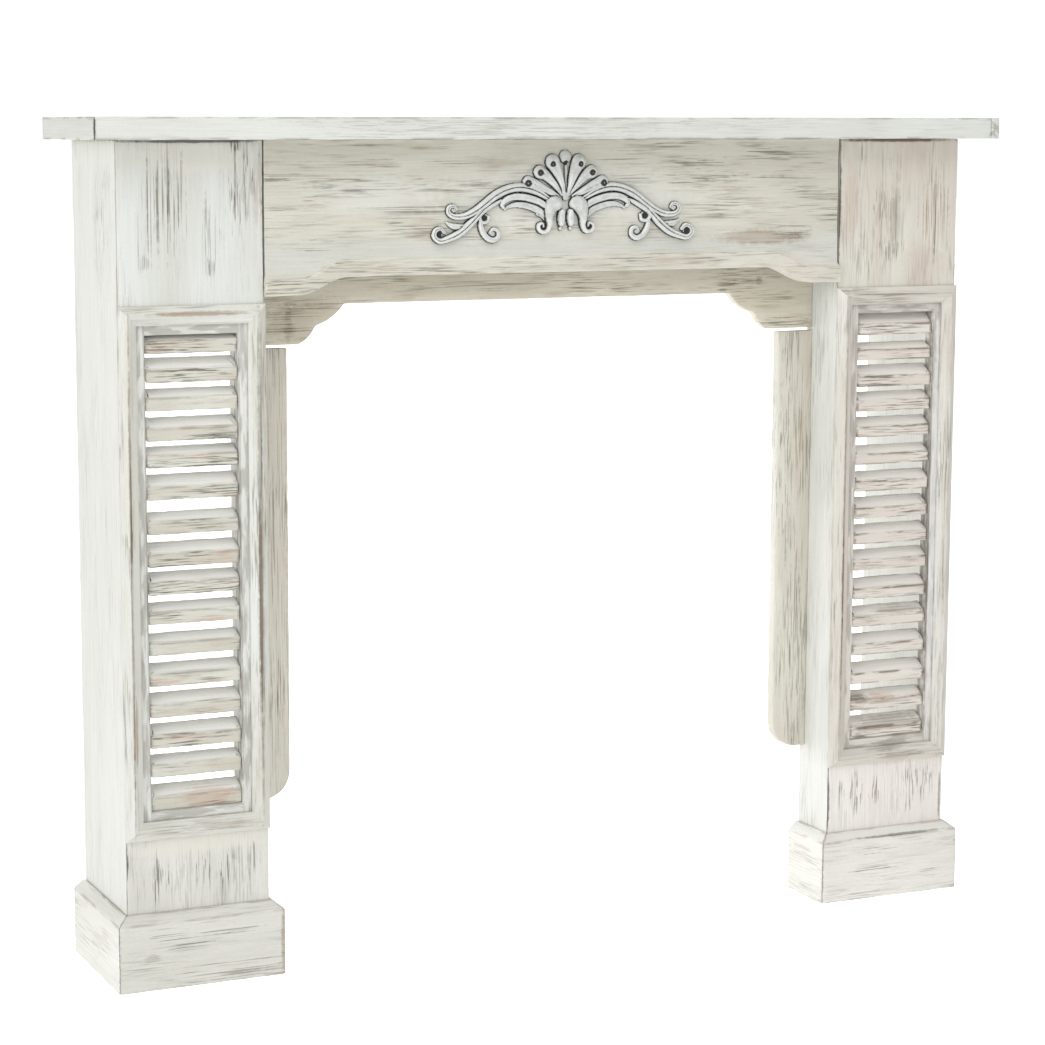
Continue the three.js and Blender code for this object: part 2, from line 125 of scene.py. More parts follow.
def ease(piece, radius, steps=2, angle=25):
    """Rounds every sharp edge."""
    limit = math.radians(angle)
    pick(piece, "EDGE", lambda e: e.calc_face_angle(0) > limit)
    bpy.ops.mesh.bevel(offset=radius, segments=steps, affect="EDGES", clamp_overlap=True)
    bpy.ops.object.mode_set(mode="OBJECT")


def border(piece, reach):
    """Lays a border of the given width inside every broad face."""
    def broad(face):
        return face.calc_area() / max(e.calc_length() for e in face.edges) > reach * 2.4
    pick(piece, "FACE", broad)
    bpy.ops.mesh.inset(thickness=reach, use_individual=True, use_even_offset=True)
    bpy.ops.object.mode_set(mode="OBJECT")


def cut_along(piece, axis, step):
    """Divides the long edges that run along an axis, so that wear can follow them."""
    longest = max(v.co[axis] for v in piece.data.vertices) - min(v.co[axis] for v in piece.data.vertices)
    cuts = max(1, round(longest / step) - 1)

    def runs(edge):
        span = edge.verts[1].co - edge.verts[0].co
        return abs(span[axis]) > max(0.97 * span.length, longest * 0.6)
    pick(piece, "EDGE", runs)
    bpy.ops.mesh.subdivide(number_cuts=cuts)
    bpy.ops.object.mode_set(mode="OBJECT")


def distances(points, lines):
    """Distance of each point from the nearest of some straight lines."""
    starts, ends = lines[:, 0], lines[:, 1]
    along = ends - starts
    length = np.maximum((along ** 2).sum(1), 1e-12)
    best = np.full(len(points), 1e9)
    for start, line, square in zip(starts, along, length):
        share = np.clip(((points - start) @ line) / square, 0, 1)
        gap = points - start - share[:, None] * line
        best = np.minimum(best, np.sqrt((gap ** 2).sum(1)))
    return best


def places(piece):
    """Where the corners of a piece are, one row each."""
    found = np.empty(len(piece.data.vertices) * 3)
    piece.data.vertices.foreach_get("co", found)
    return found.reshape(-1, 3)


def put(piece, points):
    """Moves the corners of a piece to new places."""
    piece.data.vertices.foreach_set("co", points.ravel())
    piece.data.update()


def keep_value(piece, name, values):
    """Stores a value at each corner, for the materials to read."""
    layer = piece.data.attributes.new(name, "FLOAT", "POINT")
    layer.data.foreach_set("value", np.asarray(values, np.float32))


def own_start(piece):
    """Where a piece's grain begins, so that no two boards show the same figure."""
    return (zlib.crc32(piece.name.encode()) % 997) / 300


def lay_grain(piece, axis):
    """Stores at each corner its place along the grain and across it."""
    along = np.roll(places(piece), -axis, axis=1) + own_start(piece)
    layer = piece.data.attributes.new("grain", "FLOAT_VECTOR", "POINT")
    layer.data.foreach_set("vector", along.astype(np.float32).ravel())


def lay_frame_grain(piece, upright):
    """Lays a frame's grain, up its stiles and along its rails. Upright tells a stile by its centre."""
    points = places(piece) + own_start(piece)
    layer = piece.data.attributes.new("grain", "FLOAT_VECTOR", "CORNER")
    for face in piece.data.polygons:
        axis = 2 if upright(face.center) else 0
        for loop in face.loop_indices:
            place = points[piece.data.loops[loop].vertex_index]
            layer.data[loop].vector = np.roll(place, -axis)


def weather(piece, lines, depth, reach=0.006, grain=(60, 60, 60)):
    """Wears the arrises back unevenly, and stores how close each corner is to one."""
    points = places(piece)
    close = np.clip(1 - distances(points, lines) / reach, 0, 1)
    normals = np.array([v.normal for v in piece.data.vertices])
    bite = np.array([noise.noise(Vector(p)) for p in points * grain])
    put(piece, points - normals * (depth * close ** 2 * np.clip(bite + 0.25, 0, 1))[:, None])
    keep_value(piece, "arris", close)


def work(board, axis, radius=0.001, rim=0.006, step=0.012, bite=0.0008, grain=(60, 60, 60)):
    """Eases, divides and wears a board, and lays its grain along an axis."""
    lines = arrises(board)
    ease(board, radius)
    if rim:
        border(board, rim)
    cut_along(board, axis, step)
    weather(board, lines, bite, grain=grain)
    lay_grain(board, axis)


def dress(piece, slot, material, *nodes, smooth=35):
    """Gives a finished piece its material and its place on the part, and hides the nodes that it stands
    for.
    """
    piece.data.materials.clear()
    piece.data.materials.append(material)
    hold(piece)
    bpy.ops.object.shade_smooth_by_angle(angle=math.radians(smooth))
    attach(piece, "root")
    if nodes:
        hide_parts(*nodes)
    return piece


# Handling of materials

def tint(red, green, blue):
    """A paint colour from its screen values."""
    def linear(value):
        value /= 255
        return value / 12.92 if value <= 0.04045 else ((value + 0.055) / 1.055) ** 2.4
    return (linear(red), linear(green), linear(blue), 1)


def add(tree, kind, inputs=None, **settings):
    """Adds a node, sets it up, and gives its sockets values or links."""
    node = tree.nodes.new("ShaderNode" + kind)
    for name, value in settings.items():
        setattr(node, name, value)
    for socket, value in (inputs or {}).items():
        if isinstance(value, bpy.types.NodeSocket):
            tree.links.new(value, node.inputs[socket])
        else:
            node.inputs[socket].default_value = value
    return node


def maths(tree, way, *values):
    """One step of arithmetic on numbers and sockets."""
    return add(tree, "Math", dict(enumerate(values)), operation=way).outputs[0]


def window(tree, value, low, high, to_low=0.0, to_high=1.0):
    """Brings a range of values to another range, and holds what lies outside at its ends."""
    ends = {"Value": value, "From Min": low, "From Max": high, "To Min": to_low, "To Max": to_high}
    return add(tree, "MapRange", ends).outputs["Result"]


def blend(tree, share, under, over, way="MIX"):
    """Lays a share of one colour over another."""
    return add(tree, "Mix", {0: share, 6: under, 7: over}, data_type="RGBA", blend_type=way).outputs[2]


def cloud(tree, place, stretch, detail=2.0):
    """A noise with so many lumps a metre along each direction."""
    spread = add(tree, "VectorMath", {0: place, 1: stretch}, operation="MULTIPLY").outputs[0]
    settings = {"Vector": spread, "Scale": 1.0, "Detail": detail}
    return add(tree, "TexNoise", settings).outputs["Fac"]


def group(name, given, gives):
    """A new node group with its sockets. Returns it with what goes in and where it comes out."""
    kinds = {float: "NodeSocketFloat", 3: "NodeSocketVector", 4: "NodeSocketColor"}
    tree = bpy.data.node_groups.new(name, "ShaderNodeTree")
    for label, value in given.items():
        kind = kinds[float if isinstance(value, float) else len(value)]
        tree.interface.new_socket(label, in_out="INPUT", socket_type=kind).default_value = value
    for label, kind in gives.items():
        tree.interface.new_socket(label, in_out="OUTPUT", socket_type="NodeSocket" + kind)
    return tree, tree.nodes.new("NodeGroupInput").outputs, tree.nodes.new("NodeGroupOutput").inputs


# Paint

def grain_lines():
    """Fine open lines of the grain. Level is how much of the wood stays closed."""
    tree, given, gives = group("grain lines", {
        "Grain": (0.0, 0.0, 0.0), "Along": 8.0, "Across": 300.0, "Level": 0.56, "Softness": 0.1},
        {"Mask": "Float"})
    across = given["Across"]
    stretch = add(tree, "CombineXYZ", {0: given["Along"], 1: across, 2: across}).outputs[0]
    figure = cloud(tree, given["Grain"], stretch, 3)
    top = maths(tree, "ADD", given["Level"], given["Softness"])
    tree.links.new(window(tree, figure, given["Level"], top), gives["Mask"])
    return tree


def spot():
    """A round or long place, full in its middle, its outline moved in and out by Ragged."""
    tree, given, gives = group("spot", {
        "Place": (0.0, 0.0, 0.0), "Centre": (0.0, 0.0, 0.0), "Size": (0.01, 1.0, 0.01), "Ragged": 0.0},
        {"Mask": "Float"})
    ends = {0: given["Place"], 1: given["Centre"]}
    off = add(tree, "VectorMath", ends, operation="SUBTRACT").outputs[0]
    share = add(tree, "VectorMath", {0: off, 1: given["Size"]}, operation="DIVIDE").outputs[0]
    reach = add(tree, "VectorMath", {0: share}, operation="LENGTH").outputs["Value"]
    tree.links.new(window(tree, maths(tree, "ADD", reach, given["Ragged"]), 1.1, 0.6), gives["Mask"])
    return tree


def worn_arris():
    """Where handling has taken the paint off an edge."""
    tree, given, gives = group("worn arris", {"Grain": (0.0, 0.0, 0.0), "Amount": 0.5}, {"Mask": "Float"})
    close = add(tree, "Attribute", attribute_name="arris").outputs["Fac"]
    rim = window(tree, close, 0.5, 0.95)
    breaks = window(tree, cloud(tree, given["Grain"], (28, 150, 150), 3), 0.44, 0.56)
    worn = maths(tree, "MULTIPLY", maths(tree, "MULTIPLY", rim, breaks), given["Amount"])
    tree.links.new(worn, gives["Mask"])
    return tree


def brushed_coat():
    """A thin brushed coat over pale wood: soft tones, open grain, rubbed places and worn arrises."""
    tree, given, gives = group("brushed coat", {
        "Grain": (0.0, 0.0, 0.0), "Paint": (0.7, 0.7, 0.7, 1.0), "Shade": (0.6, 0.6, 0.6, 1.0),
        "Line": (0.3, 0.3, 0.3, 1.0), "Bare": (0.4, 0.3, 0.2, 1.0), "Edge": (0.4, 0.3, 0.2, 1.0),
        "Lines": 0.5, "Rubbing": 0.5, "Wear": 0.5},
        {"Color": "Color", "Roughness": "Float", "Height": "Float"})
    grain = given["Grain"]
    brush = cloud(tree, grain, (16, 560, 560), 3)
    tooth = cloud(tree, grain, (330, 900, 900), 2)
    broad = window(tree, cloud(tree, grain, (4, 17, 17), 3), 0.38, 0.62)
    colour = blend(tree, broad, given["Paint"], given["Shade"])
    colour = blend(tree, 1.0, colour, window(tree, brush, 0.3, 0.7, 0.945, 1.035), "MULTIPLY")
    colour = blend(tree, 1.0, colour, window(tree, tooth, 0.3, 0.7, 0.96, 1.03), "MULTIPLY")
    clusters = window(tree, cloud(tree, grain, (8, 36, 36), 3), 0.45, 0.62)
    fine = add(tree, "Group", {
        "Grain": grain, "Along": 24.0, "Across": 560.0, "Level": 0.5, "Softness": 0.13},
        node_tree=GRAIN_LINES).outputs["Mask"]
    lines = maths(tree, "MULTIPLY", maths(tree, "MULTIPLY", fine, clusters), given["Lines"])
    colour = blend(tree, lines, colour, given["Line"])
    rubbed = window(tree, cloud(tree, grain, (14, 80, 80), 4), 0.55, 0.68)
    rubbed = maths(tree, "MULTIPLY", rubbed, window(tree, brush, 0.42, 0.56))
    rubbed = maths(tree, "MULTIPLY", rubbed, given["Rubbing"])
    colour = blend(tree, rubbed, colour, given["Bare"])
    wear = {"Grain": grain, "Amount": given["Wear"]}
    worn = add(tree, "Group", wear, node_tree=WORN_ARRIS).outputs["Mask"]
    colour = blend(tree, worn, colour, given["Edge"])
    tree.links.new(colour, gives["Color"])
    open_wood = maths(tree, "ADD", maths(tree, "ADD", lines, rubbed), worn)
    tree.links.new(window(tree, open_wood, 0.0, 1.0, 0.56, 0.86), gives["Roughness"])
    tree.links.new(brush, gives["Height"])
    return tree


GRAIN_LINES = grain_lines()
SPOT = spot()
WORN_ARRIS = worn_arris()
BRUSHED_COAT = brushed_coat()

# Tones of the bare and stained wood that shows through the paint, and of paint laid thicker or thinner.
# The two darkest also paint a shadow line under the shelf's edge.
SOOT_AND_SHADE = tint(62, 57, 49)
GREY = tint(118, 114, 104)
BROWN = tint(150, 128, 104)
UMBER_AND_SHADE = tint(100, 82, 62)
RUST = tint(176, 132, 106)
ROSE = tint(190, 164, 150)
BLUSH = tint(222, 211, 201)
CREAM = tint(218, 215, 204)
CHALK = tint(226, 230, 231)


def mark(x, z, half_width, half_height, tone, strength, lined=1.0, dashed=False, over="x",
         depth=(0.0, 10.0)):
    """A stained place on a face, which can also be a painted shadow line: its centre and half size, and
    how far the grain breaks it into lines.

    Over "y" it lies on a side face. Depth gives the centre and half size from front to back, which
    otherwise take in the whole depth.
    """
    if over == "x":
        return ((x, depth[0], z), (half_width, depth[1], half_height), tone, strength, lined, dashed)
    return ((0.0, x, z), (10.0, half_width, half_height), tone, strength, lined, dashed)


def painted(name, paint, shade, line=GREY, bare=ROSE, edge=BROWN, lines=0.5, rubbing=0.4, wear=0.6,
            marks=(), slope=None):
    """Brush-painted wood with its own marks: stained places, and a painted shadow line on the head
    boards. Slope gives another paint to the louvres' planed slopes, lighter partly as painted light from
    above, and to the frieze's cove, bluish as a painted highlight.
    """
    material = bpy.data.materials.new(name)
    material.use_nodes = True
    tree = material.node_tree
    shader = tree.nodes["Principled BSDF"]
    grain = add(tree, "Attribute", attribute_name="grain").outputs["Vector"]
    # The slope paint goes where the stored share is low: on the louvres' planed slopes it is lighter,
    # partly as painted light from above; on the frieze's cove it is bluish, as a painted highlight.
    if slope:
        open_not_lit = add(tree, "Attribute", attribute_name="open_grain").outputs["Fac"]
        lines = maths(tree, "MULTIPLY_ADD", open_not_lit, lines, 0.08)
        rubbing = maths(tree, "MULTIPLY_ADD", open_not_lit, rubbing, 0.04)
        paint = blend(tree, open_not_lit, slope, paint)
        shade = blend(tree, open_not_lit, slope, shade)
    coat = add(tree, "Group", {
        "Grain": grain, "Paint": paint, "Shade": shade, "Line": line, "Bare": bare, "Edge": edge,
        "Lines": lines, "Rubbing": rubbing, "Wear": wear}, node_tree=BRUSHED_COAT).outputs
    colour = coat["Color"]
    if marks:
        place = add(tree, "TexCoord").outputs["Object"]
        streaks = {}
        for dashed, along, across in ((False, 8.0, 540.0), (True, 26.0, 600.0)):
            streaks[dashed] = add(tree, "Group", {
                "Grain": grain, "Along": along, "Across": across, "Level": 0.545, "Softness": 0.04},
                node_tree=GRAIN_LINES).outputs["Mask"]
        ends = cloud(tree, grain, (3, 420, 420), 1)
        soft = maths(tree, "MULTIPLY_ADD", cloud(tree, place, (120, 120, 120), 3), 1.0, -0.5)
        combed = maths(tree, "ADD", maths(tree, "MULTIPLY_ADD", ends, 1.8, -0.9), soft)
    for centre, size, tone, strength, lined, dashed in marks:
        ragged = combed if lined > 0.45 else soft
        mask = add(tree, "Group", {"Place": place, "Centre": centre, "Size": size, "Ragged": ragged},
                   node_tree=SPOT).outputs["Mask"]
        broken = window(tree, streaks[dashed], 0.0, 1.0, 1.0 - lined, 1.0)
        share = maths(tree, "MULTIPLY", maths(tree, "MULTIPLY", mask, broken), strength)
        colour = blend(tree, share, colour, tone)
    tree.links.new(colour, shader.inputs["Base Color"])
    tree.links.new(coat["Roughness"], shader.inputs["Roughness"])
    brushwork = {"Strength": 0.3, "Distance": 0.0004, "Height": coat["Height"]}
    tree.links.new(add(tree, "Bump", brushwork).outputs["Normal"], shader.inputs["Normal"])
    return material


HEADS = {
    "left": painted(
        "left head paint", tint(213, 215, 211), tint(204, 205, 198), edge=CREAM, lines=0.3,
        rubbing=0.05, marks=[
            mark(-0.4758, 0.9734, 0.0897, 0.0204, CREAM, 0.6, 0.0),
            mark(-0.5080, 0.9249, 0.0209, 0.0691, GREY, 0.81),
            mark(-0.5031, 0.9430, 0.0012, 0.0533, SOOT_AND_SHADE, 0.8, 0.35),
            mark(-0.5398, 0.8970, 0.0035, 0.0408, GREY, 0.59),
            mark(-0.4872, 0.9173, 0.0036, 0.0483, GREY, 0.59),
            mark(-0.4517, 0.8740, 0.0133, 0.0459, GREY, 0.51),
            mark(-0.4132, 0.9451, 0.0244, 0.0487, GREY, 0.68, dashed=True),
            mark(-0.4212, 0.9406, 0.0024, 0.0189, SOOT_AND_SHADE, 0.65, 0.6, dashed=True),
            mark(-0.4189, 0.9880, 0.0072, 0.0057, SOOT_AND_SHADE, 0.65, 0.7, dashed=True),
            mark(-0.4013, 0.9422, 0.0028, 0.0172, SOOT_AND_SHADE, 0.65, 0.6, dashed=True),
            mark(-0.3917, 0.9581, 0.0030, 0.0241, SOOT_AND_SHADE, 0.58, 0.7, dashed=True),
            mark(-0.3957, 0.9266, 0.0030, 0.0385, ROSE, 0.5, 0.4),
            mark(-0.3880, 0.9064, 0.0016, 0.0960, SOOT_AND_SHADE, 1, 0.2),
            mark(-0.5335, 0.8538, 0.0059, 0.0091, GREY, 0.68, 0.8, dashed=True),
            mark(-0.4538, 0.8464, 0.0054, 0.0126, GREY, 0.68, 0.8, dashed=True),
            # Dark line along the board's top under the shelf's edge: partly worn paint, partly painted
            # shadow of the shelf.
            mark(-0.4779, 0.9923, 0.0920, 0.0021, SOOT_AND_SHADE, 0.8, 0.0),
            mark(-0.5655, 0.9148, 0.0012, 0.0839, GREY, 0.9, 0.2),
        ]),
    "right": painted(
        "right head paint", tint(212, 209, 198), tint(204, 195, 184), edge=CREAM, lines=0.5,
        rubbing=0.15, marks=[
            mark(0.4053, 0.9102, 0.0134, 0.0506, ROSE, 0.3, 0.0),
            mark(0.5173, 0.8318, 0.0366, 0.0323, ROSE, 0.2, 0.0),
            mark(0.4209, 0.9746, 0.0096, 0.0176, GREY, 0.81),
            mark(0.4227, 0.8986, 0.0052, 0.0686, GREY, 0.81),
            mark(0.4500, 0.9116, 0.0135, 0.0236, GREY, 0.59, dashed=True),
            mark(0.4712, 0.9617, 0.0105, 0.0178, GREY, 0.59),
            mark(0.4714, 0.8942, 0.0076, 0.0524, GREY, 0.77, 0.6),
            mark(0.4711, 0.9082, 0.0030, 0.0204, UMBER_AND_SHADE, 0.5, 0.6),
            mark(0.5313, 0.8960, 0.0207, 0.0553, BROWN, 0.77),
            mark(0.5307, 0.8896, 0.0023, 0.0540, UMBER_AND_SHADE, 0.58, 0.6),
            mark(0.4681, 0.8520, 0.0211, 0.0154, GREY, 0.59, dashed=True),
            # Dark line along the board's top under the shelf's edge: partly worn paint, partly painted
            # shadow of the shelf.
            mark(0.4682, 0.9920, 0.0840, 0.0027, UMBER_AND_SHADE, 0.9, 0.0),
            mark(0.3877, 0.9117, 0.0031, 0.0859, SOOT_AND_SHADE, 0.9, 0.1),
        ]),
}
FEET = {
    "left": painted(
        "left foot paint", tint(214, 214, 207), tint(206, 205, 197), edge=CREAM, lines=0.35,
        rubbing=0.1, marks=[
            mark(-0.4763, 0.1688, 0.0961, 0.0140, CREAM, 0.7, 0.0),
            mark(-0.5237, 0.1252, 0.0129, 0.0261, SOOT_AND_SHADE, 0.65, dashed=True),
            mark(-0.4672, 0.1390, 0.0100, 0.0256, SOOT_AND_SHADE, 0.6, dashed=True),
            mark(-0.4410, 0.1349, 0.0138, 0.0196, SOOT_AND_SHADE, 0.68, dashed=True),
            mark(-0.4070, 0.1373, 0.0101, 0.0209, SOOT_AND_SHADE, 0.61, dashed=True),
            mark(-0.4791, 0.1215, 0.0820, 0.0396, GREY, 0.25, dashed=True),
            mark(-0.5652, 0.1522, 0.0027, 0.0228, SOOT_AND_SHADE, 1, 0.15),
        ]),
    # Painted lighter than the right head board: painted light from the pale floor below.
    "right": painted(
        "right foot paint", tint(234, 231, 226), tint(228, 222, 216), edge=CREAM, lines=0.25,
        rubbing=0.1, marks=[
            mark(0.4813, 0.1829, 0.0388, 0.0081, ROSE, 0.42, 0.6),
            mark(0.4297, 0.1433, 0.0108, 0.0284, UMBER_AND_SHADE, 0.65, dashed=True),
            mark(0.4092, 0.1426, 0.0053, 0.0175, GREY, 0.77, dashed=True),
            mark(0.4599, 0.1376, 0.0085, 0.0176, UMBER_AND_SHADE, 0.65, dashed=True),
            mark(0.5126, 0.1406, 0.0133, 0.0286, UMBER_AND_SHADE, 0.55, dashed=True),
            mark(0.5375, 0.1463, 0.0166, 0.0205, GREY, 0.77, dashed=True),
            mark(0.4830, 0.1361, 0.0763, 0.0306, GREY, 0.2, dashed=True),
            mark(0.3884, 0.1339, 0.0027, 0.0418, SOOT_AND_SHADE, 0.9, 0.15),
            mark(0.5607, 0.1236, 0.0019, 0.0357, GREY, 0.9, 0.3),
        ]),
}
OUTER_SIDE = painted(
    "outer side paint", tint(222, 223, 217), tint(218, 219, 212), lines=0.2, rubbing=0.05, marks=[
        mark(-0.0046, 0.8849, 0.0300, 0.0577, GREY, 0.5, dashed=True, over="y"),
        mark(-0.0226, 0.9398, 0.0345, 0.0313, GREY, 0.38, dashed=True, over="y"),
    ])
INNER_SIDE = painted(
    "inner side paint", tint(228, 229, 225), tint(216, 217, 211), lines=0.45, rubbing=0.05)
SHUTTERS = {
    "left": painted(
        "left shutter paint", tint(216, 217, 212), tint(209, 210, 203), edge=GREY, lines=0.3,
        rubbing=0.05, marks=[
            mark(-0.4192, 0.4900, 0.0012, 0.3200, SOOT_AND_SHADE, 0.55, 0.4),
            mark(-0.5338, 0.4900, 0.0012, 0.3200, SOOT_AND_SHADE, 0.6, 0.4),
        ]),
    "right": painted(
        "right shutter paint", tint(216, 211, 203), tint(208, 203, 196), edge=GREY, lines=0.3,
        rubbing=0.05, marks=[
            mark(0.5338, 0.4900, 0.0013, 0.3200, SOOT_AND_SHADE, 0.75, 0.3),
            mark(0.5400, 0.4900, 0.0050, 0.3400, CHALK, 0.5, 0.1),
        ]),
}
MOULDINGS = {
    "left": painted(
        "left moulding paint", tint(211, 212, 206), tint(201, 200, 189), lines=0.8, rubbing=0.35,
        wear=0.5, bare=BROWN, marks=[
            mark(-0.4710, 0.7960, 0.0640, 0.0034, BROWN, 0.95, 0.4),
            mark(-0.4500, 0.1900, 0.0400, 0.0042, BROWN, 0.77, 0.8),
            mark(-0.5555, 0.4900, 0.0018, 0.3200, UMBER_AND_SHADE, 0.8, 0.45),
            mark(-0.5550, 0.5820, 0.0020, 0.0830, UMBER_AND_SHADE, 0.58, 0.6),
            mark(-0.5525, 0.3060, 0.0036, 0.0400, BROWN, 0.77, 0.5),
            mark(-0.5480, 0.4900, 0.0040, 0.3000, CREAM, 0.6, 0.2),
            mark(-0.3975, 0.5000, 0.0040, 0.3000, GREY, 0.9, 0.45),
            mark(-0.3980, 0.4500, 0.0022, 0.1300, UMBER_AND_SHADE, 1, 0.25),
            mark(-0.4080, 0.4900, 0.0070, 0.3000, CHALK, 0.25, 0.1),
        ]),
    "right": painted(
        "right moulding paint", tint(212, 210, 202), tint(204, 198, 188), lines=0.7, rubbing=0.3,
        wear=0.5, bare=ROSE, marks=[
            mark(0.3990, 0.5000, 0.0016, 0.3000, UMBER_AND_SHADE, 0.8, 0.45),
            mark(0.3990, 0.4300, 0.0026, 0.0600, UMBER_AND_SHADE, 0.9, 0.4),
            mark(0.4050, 0.5000, 0.0036, 0.3000, BLUSH, 0.8, 0.2),
            mark(0.4900, 0.1880, 0.0320, 0.0050, UMBER_AND_SHADE, 0.68, 0.5),
            mark(0.4750, 0.1990, 0.0300, 0.0030, SOOT_AND_SHADE, 0.65, 0.6),
            mark(0.4800, 0.7960, 0.0600, 0.0030, GREY, 0.77, 0.9),
            mark(0.5520, 0.5000, 0.0020, 0.3000, GREY, 0.68, 0.8),
            mark(0.5400, 0.5000, 0.0060, 0.3000, CHALK, 0.4, 0.2),
        ]),
}
LOUVRES = {
    # The slopes' paint is lighter than the noses': partly the smoother planed face, partly painted light
    # from above.
    "left": painted(
        "left louvre paint", tint(208, 207, 196), tint(194, 191, 177), edge=GREY, lines=1.3,
        rubbing=0.9, wear=0.5, slope=tint(222, 222, 217), marks=[
            mark(-0.4393, 0.6509, 0.0184, 0.0046, SOOT_AND_SHADE, 0.8, 0.4, dashed=True),
            mark(-0.4630, 0.2246, 0.0298, 0.0145, RUST, 0.51, 0.5, dashed=True),
        ]),
    "right": painted(
        "right louvre paint", tint(222, 216, 207), tint(213, 205, 195), edge=UMBER_AND_SHADE, lines=0.9,
        rubbing=0.4, wear=0.85, slope=tint(226, 223, 217), marks=[
            mark(0.4835, 0.2303, 0.0504, 0.0088, UMBER_AND_SHADE, 0.65, 0.5),
            mark(0.4351, 0.2178, 0.0139, 0.0095, SOOT_AND_SHADE, 0.58, 0.8, dashed=True),
            mark(0.4354, 0.2659, 0.0153, 0.0067, UMBER_AND_SHADE, 0.8, 0.4),
            mark(0.4677, 0.2659, 0.0293, 0.0067, RUST, 0.51, 0.5),
            mark(0.4955, 0.3808, 0.0325, 0.0047, UMBER_AND_SHADE, 0.58, 0.6),
        ]),
}
PLINTHS = {
    "left": painted(
        "left plinth paint", tint(210, 210, 203), tint(204, 204, 196), lines=0.55, rubbing=0.15,
        wear=0.5, marks=[
            mark(-0.5176, 0.0648, 0.0246, 0.0097, GREY, 0.77),
            mark(-0.4906, 0.0530, 0.0247, 0.0085, GREY, 0.77),
            mark(-0.4443, 0.0633, 0.0413, 0.0049, GREY, 0.68),
            mark(-0.4444, 0.0160, 0.0714, 0.0104, UMBER_AND_SHADE, 0.61),
            mark(-0.5390, 0.0397, 0.0097, 0.0052, UMBER_AND_SHADE, 0.5, 0.5),
            mark(-0.3752, 0.0426, 0.0038, 0.0471, BROWN, 0.8, 0.4),
        ]),
    "right": painted(
        "right plinth paint", tint(226, 225, 219), tint(220, 218, 211), lines=0.45, rubbing=0.15,
        wear=0.5, marks=[
            mark(0.4508, 0.0663, 0.0301, 0.0054, UMBER_AND_SHADE, 0.65),
            mark(0.4477, 0.0388, 0.0355, 0.0115, GREY, 0.77),
            mark(0.5398, 0.0245, 0.0253, 0.0075, UMBER_AND_SHADE, 0.58),
            mark(0.4900, 0.0822, 0.0760, 0.0016, SOOT_AND_SHADE, 0.8, 0.35),
        ]),
}
PLINTH_SIDE = painted(
    "plinth side paint", tint(226, 226, 220), tint(220, 220, 213), lines=0.4, rubbing=0.1, wear=0.5,
    marks=[
        mark(-0.0294, 0.0591, 0.0229, 0.0074, ROSE, 0.6, 0.8, over="y"),
        mark(-0.0031, 0.0439, 0.0604, 0.0138, ROSE, 0.4, over="y"),
    ])
SHELF_PAINT = painted(
    "shelf paint", tint(211, 213, 207), tint(205, 206, 199), edge=GREY, lines=0.2, rubbing=0.03,
    wear=0.6, marks=[
        mark(-0.6000, 1.0070, 0.0020, 0.0165, SOOT_AND_SHADE, 0.85, 0.15, depth=(-0.109, 0.004)),
        mark(-0.0117, 1.0214, 0.5891, 0.0010, GREY, 0.8, 0.1),
        mark(-0.0963, 1.0074, 0.2601, 0.0141, GREY, 0.3, dashed=True),
    ])
# The cove above the lip takes a bluish slope paint, a painted highlight of light from above.
FRIEZE_PAINT = painted(
    "frieze paint", tint(208, 206, 194), tint(198, 195, 181), edge=CREAM, lines=0.75, rubbing=0.35,
    bare=BROWN, slope=tint(200, 201, 194), marks=[
        mark(-0.2763, 0.9673, 0.0680, 0.0064, GREY, 0.81),
        mark(-0.3044, 0.9698, 0.0250, 0.0029, UMBER_AND_SHADE, 0.5),
        mark(-0.1476, 0.9667, 0.0402, 0.0077, UMBER_AND_SHADE, 0.58),
        mark(-0.0866, 0.9646, 0.0468, 0.0071, UMBER_AND_SHADE, 0.54, 0.6),
        mark(-0.3221, 0.9334, 0.0249, 0.0162, GREY, 0.77, dashed=True),
        mark(-0.2763, 0.9330, 0.0196, 0.0035, SOOT_AND_SHADE, 0.58),
        mark(-0.1658, 0.9337, 0.0324, 0.0041, GREY, 0.77),
        mark(-0.1796, 0.9085, 0.0672, 0.0082, GREY, 0.77),
        mark(-0.3262, 0.8713, 0.0312, 0.0065, GREY, 0.77),
        mark(-0.1840, 0.8896, 0.0194, 0.0142, BROWN, 0.25, 0.3),
        mark(0.0849, 0.9710, 0.0399, 0.0097, GREY, 0.81),
        mark(0.1505, 0.9456, 0.0670, 0.0055, SOOT_AND_SHADE, 0.54),
        mark(0.1884, 0.9521, 0.0718, 0.0185, GREY, 0.72, dashed=True),
        mark(0.2822, 0.9409, 0.0475, 0.0094, GREY, 0.77),
        mark(0.2157, 0.9092, 0.0568, 0.0093, GREY, 0.68),
        mark(0.2766, 0.8717, 0.0721, 0.0100, BROWN, 0.75, 0.45),
        mark(0.3145, 0.8761, 0.0342, 0.0088, SOOT_AND_SHADE, 0.5, dashed=True),
        mark(0.3325, 0.8320, 0.0482, 0.0202, BLUSH, 0.35, 0.0),
        mark(0.0000, 0.9250, 0.1850, 0.0440, CHALK, 0.22, 0.0),
        mark(-0.2500, 0.9300, 0.0900, 0.0260, CHALK, 0.18, 0.0),
    ])
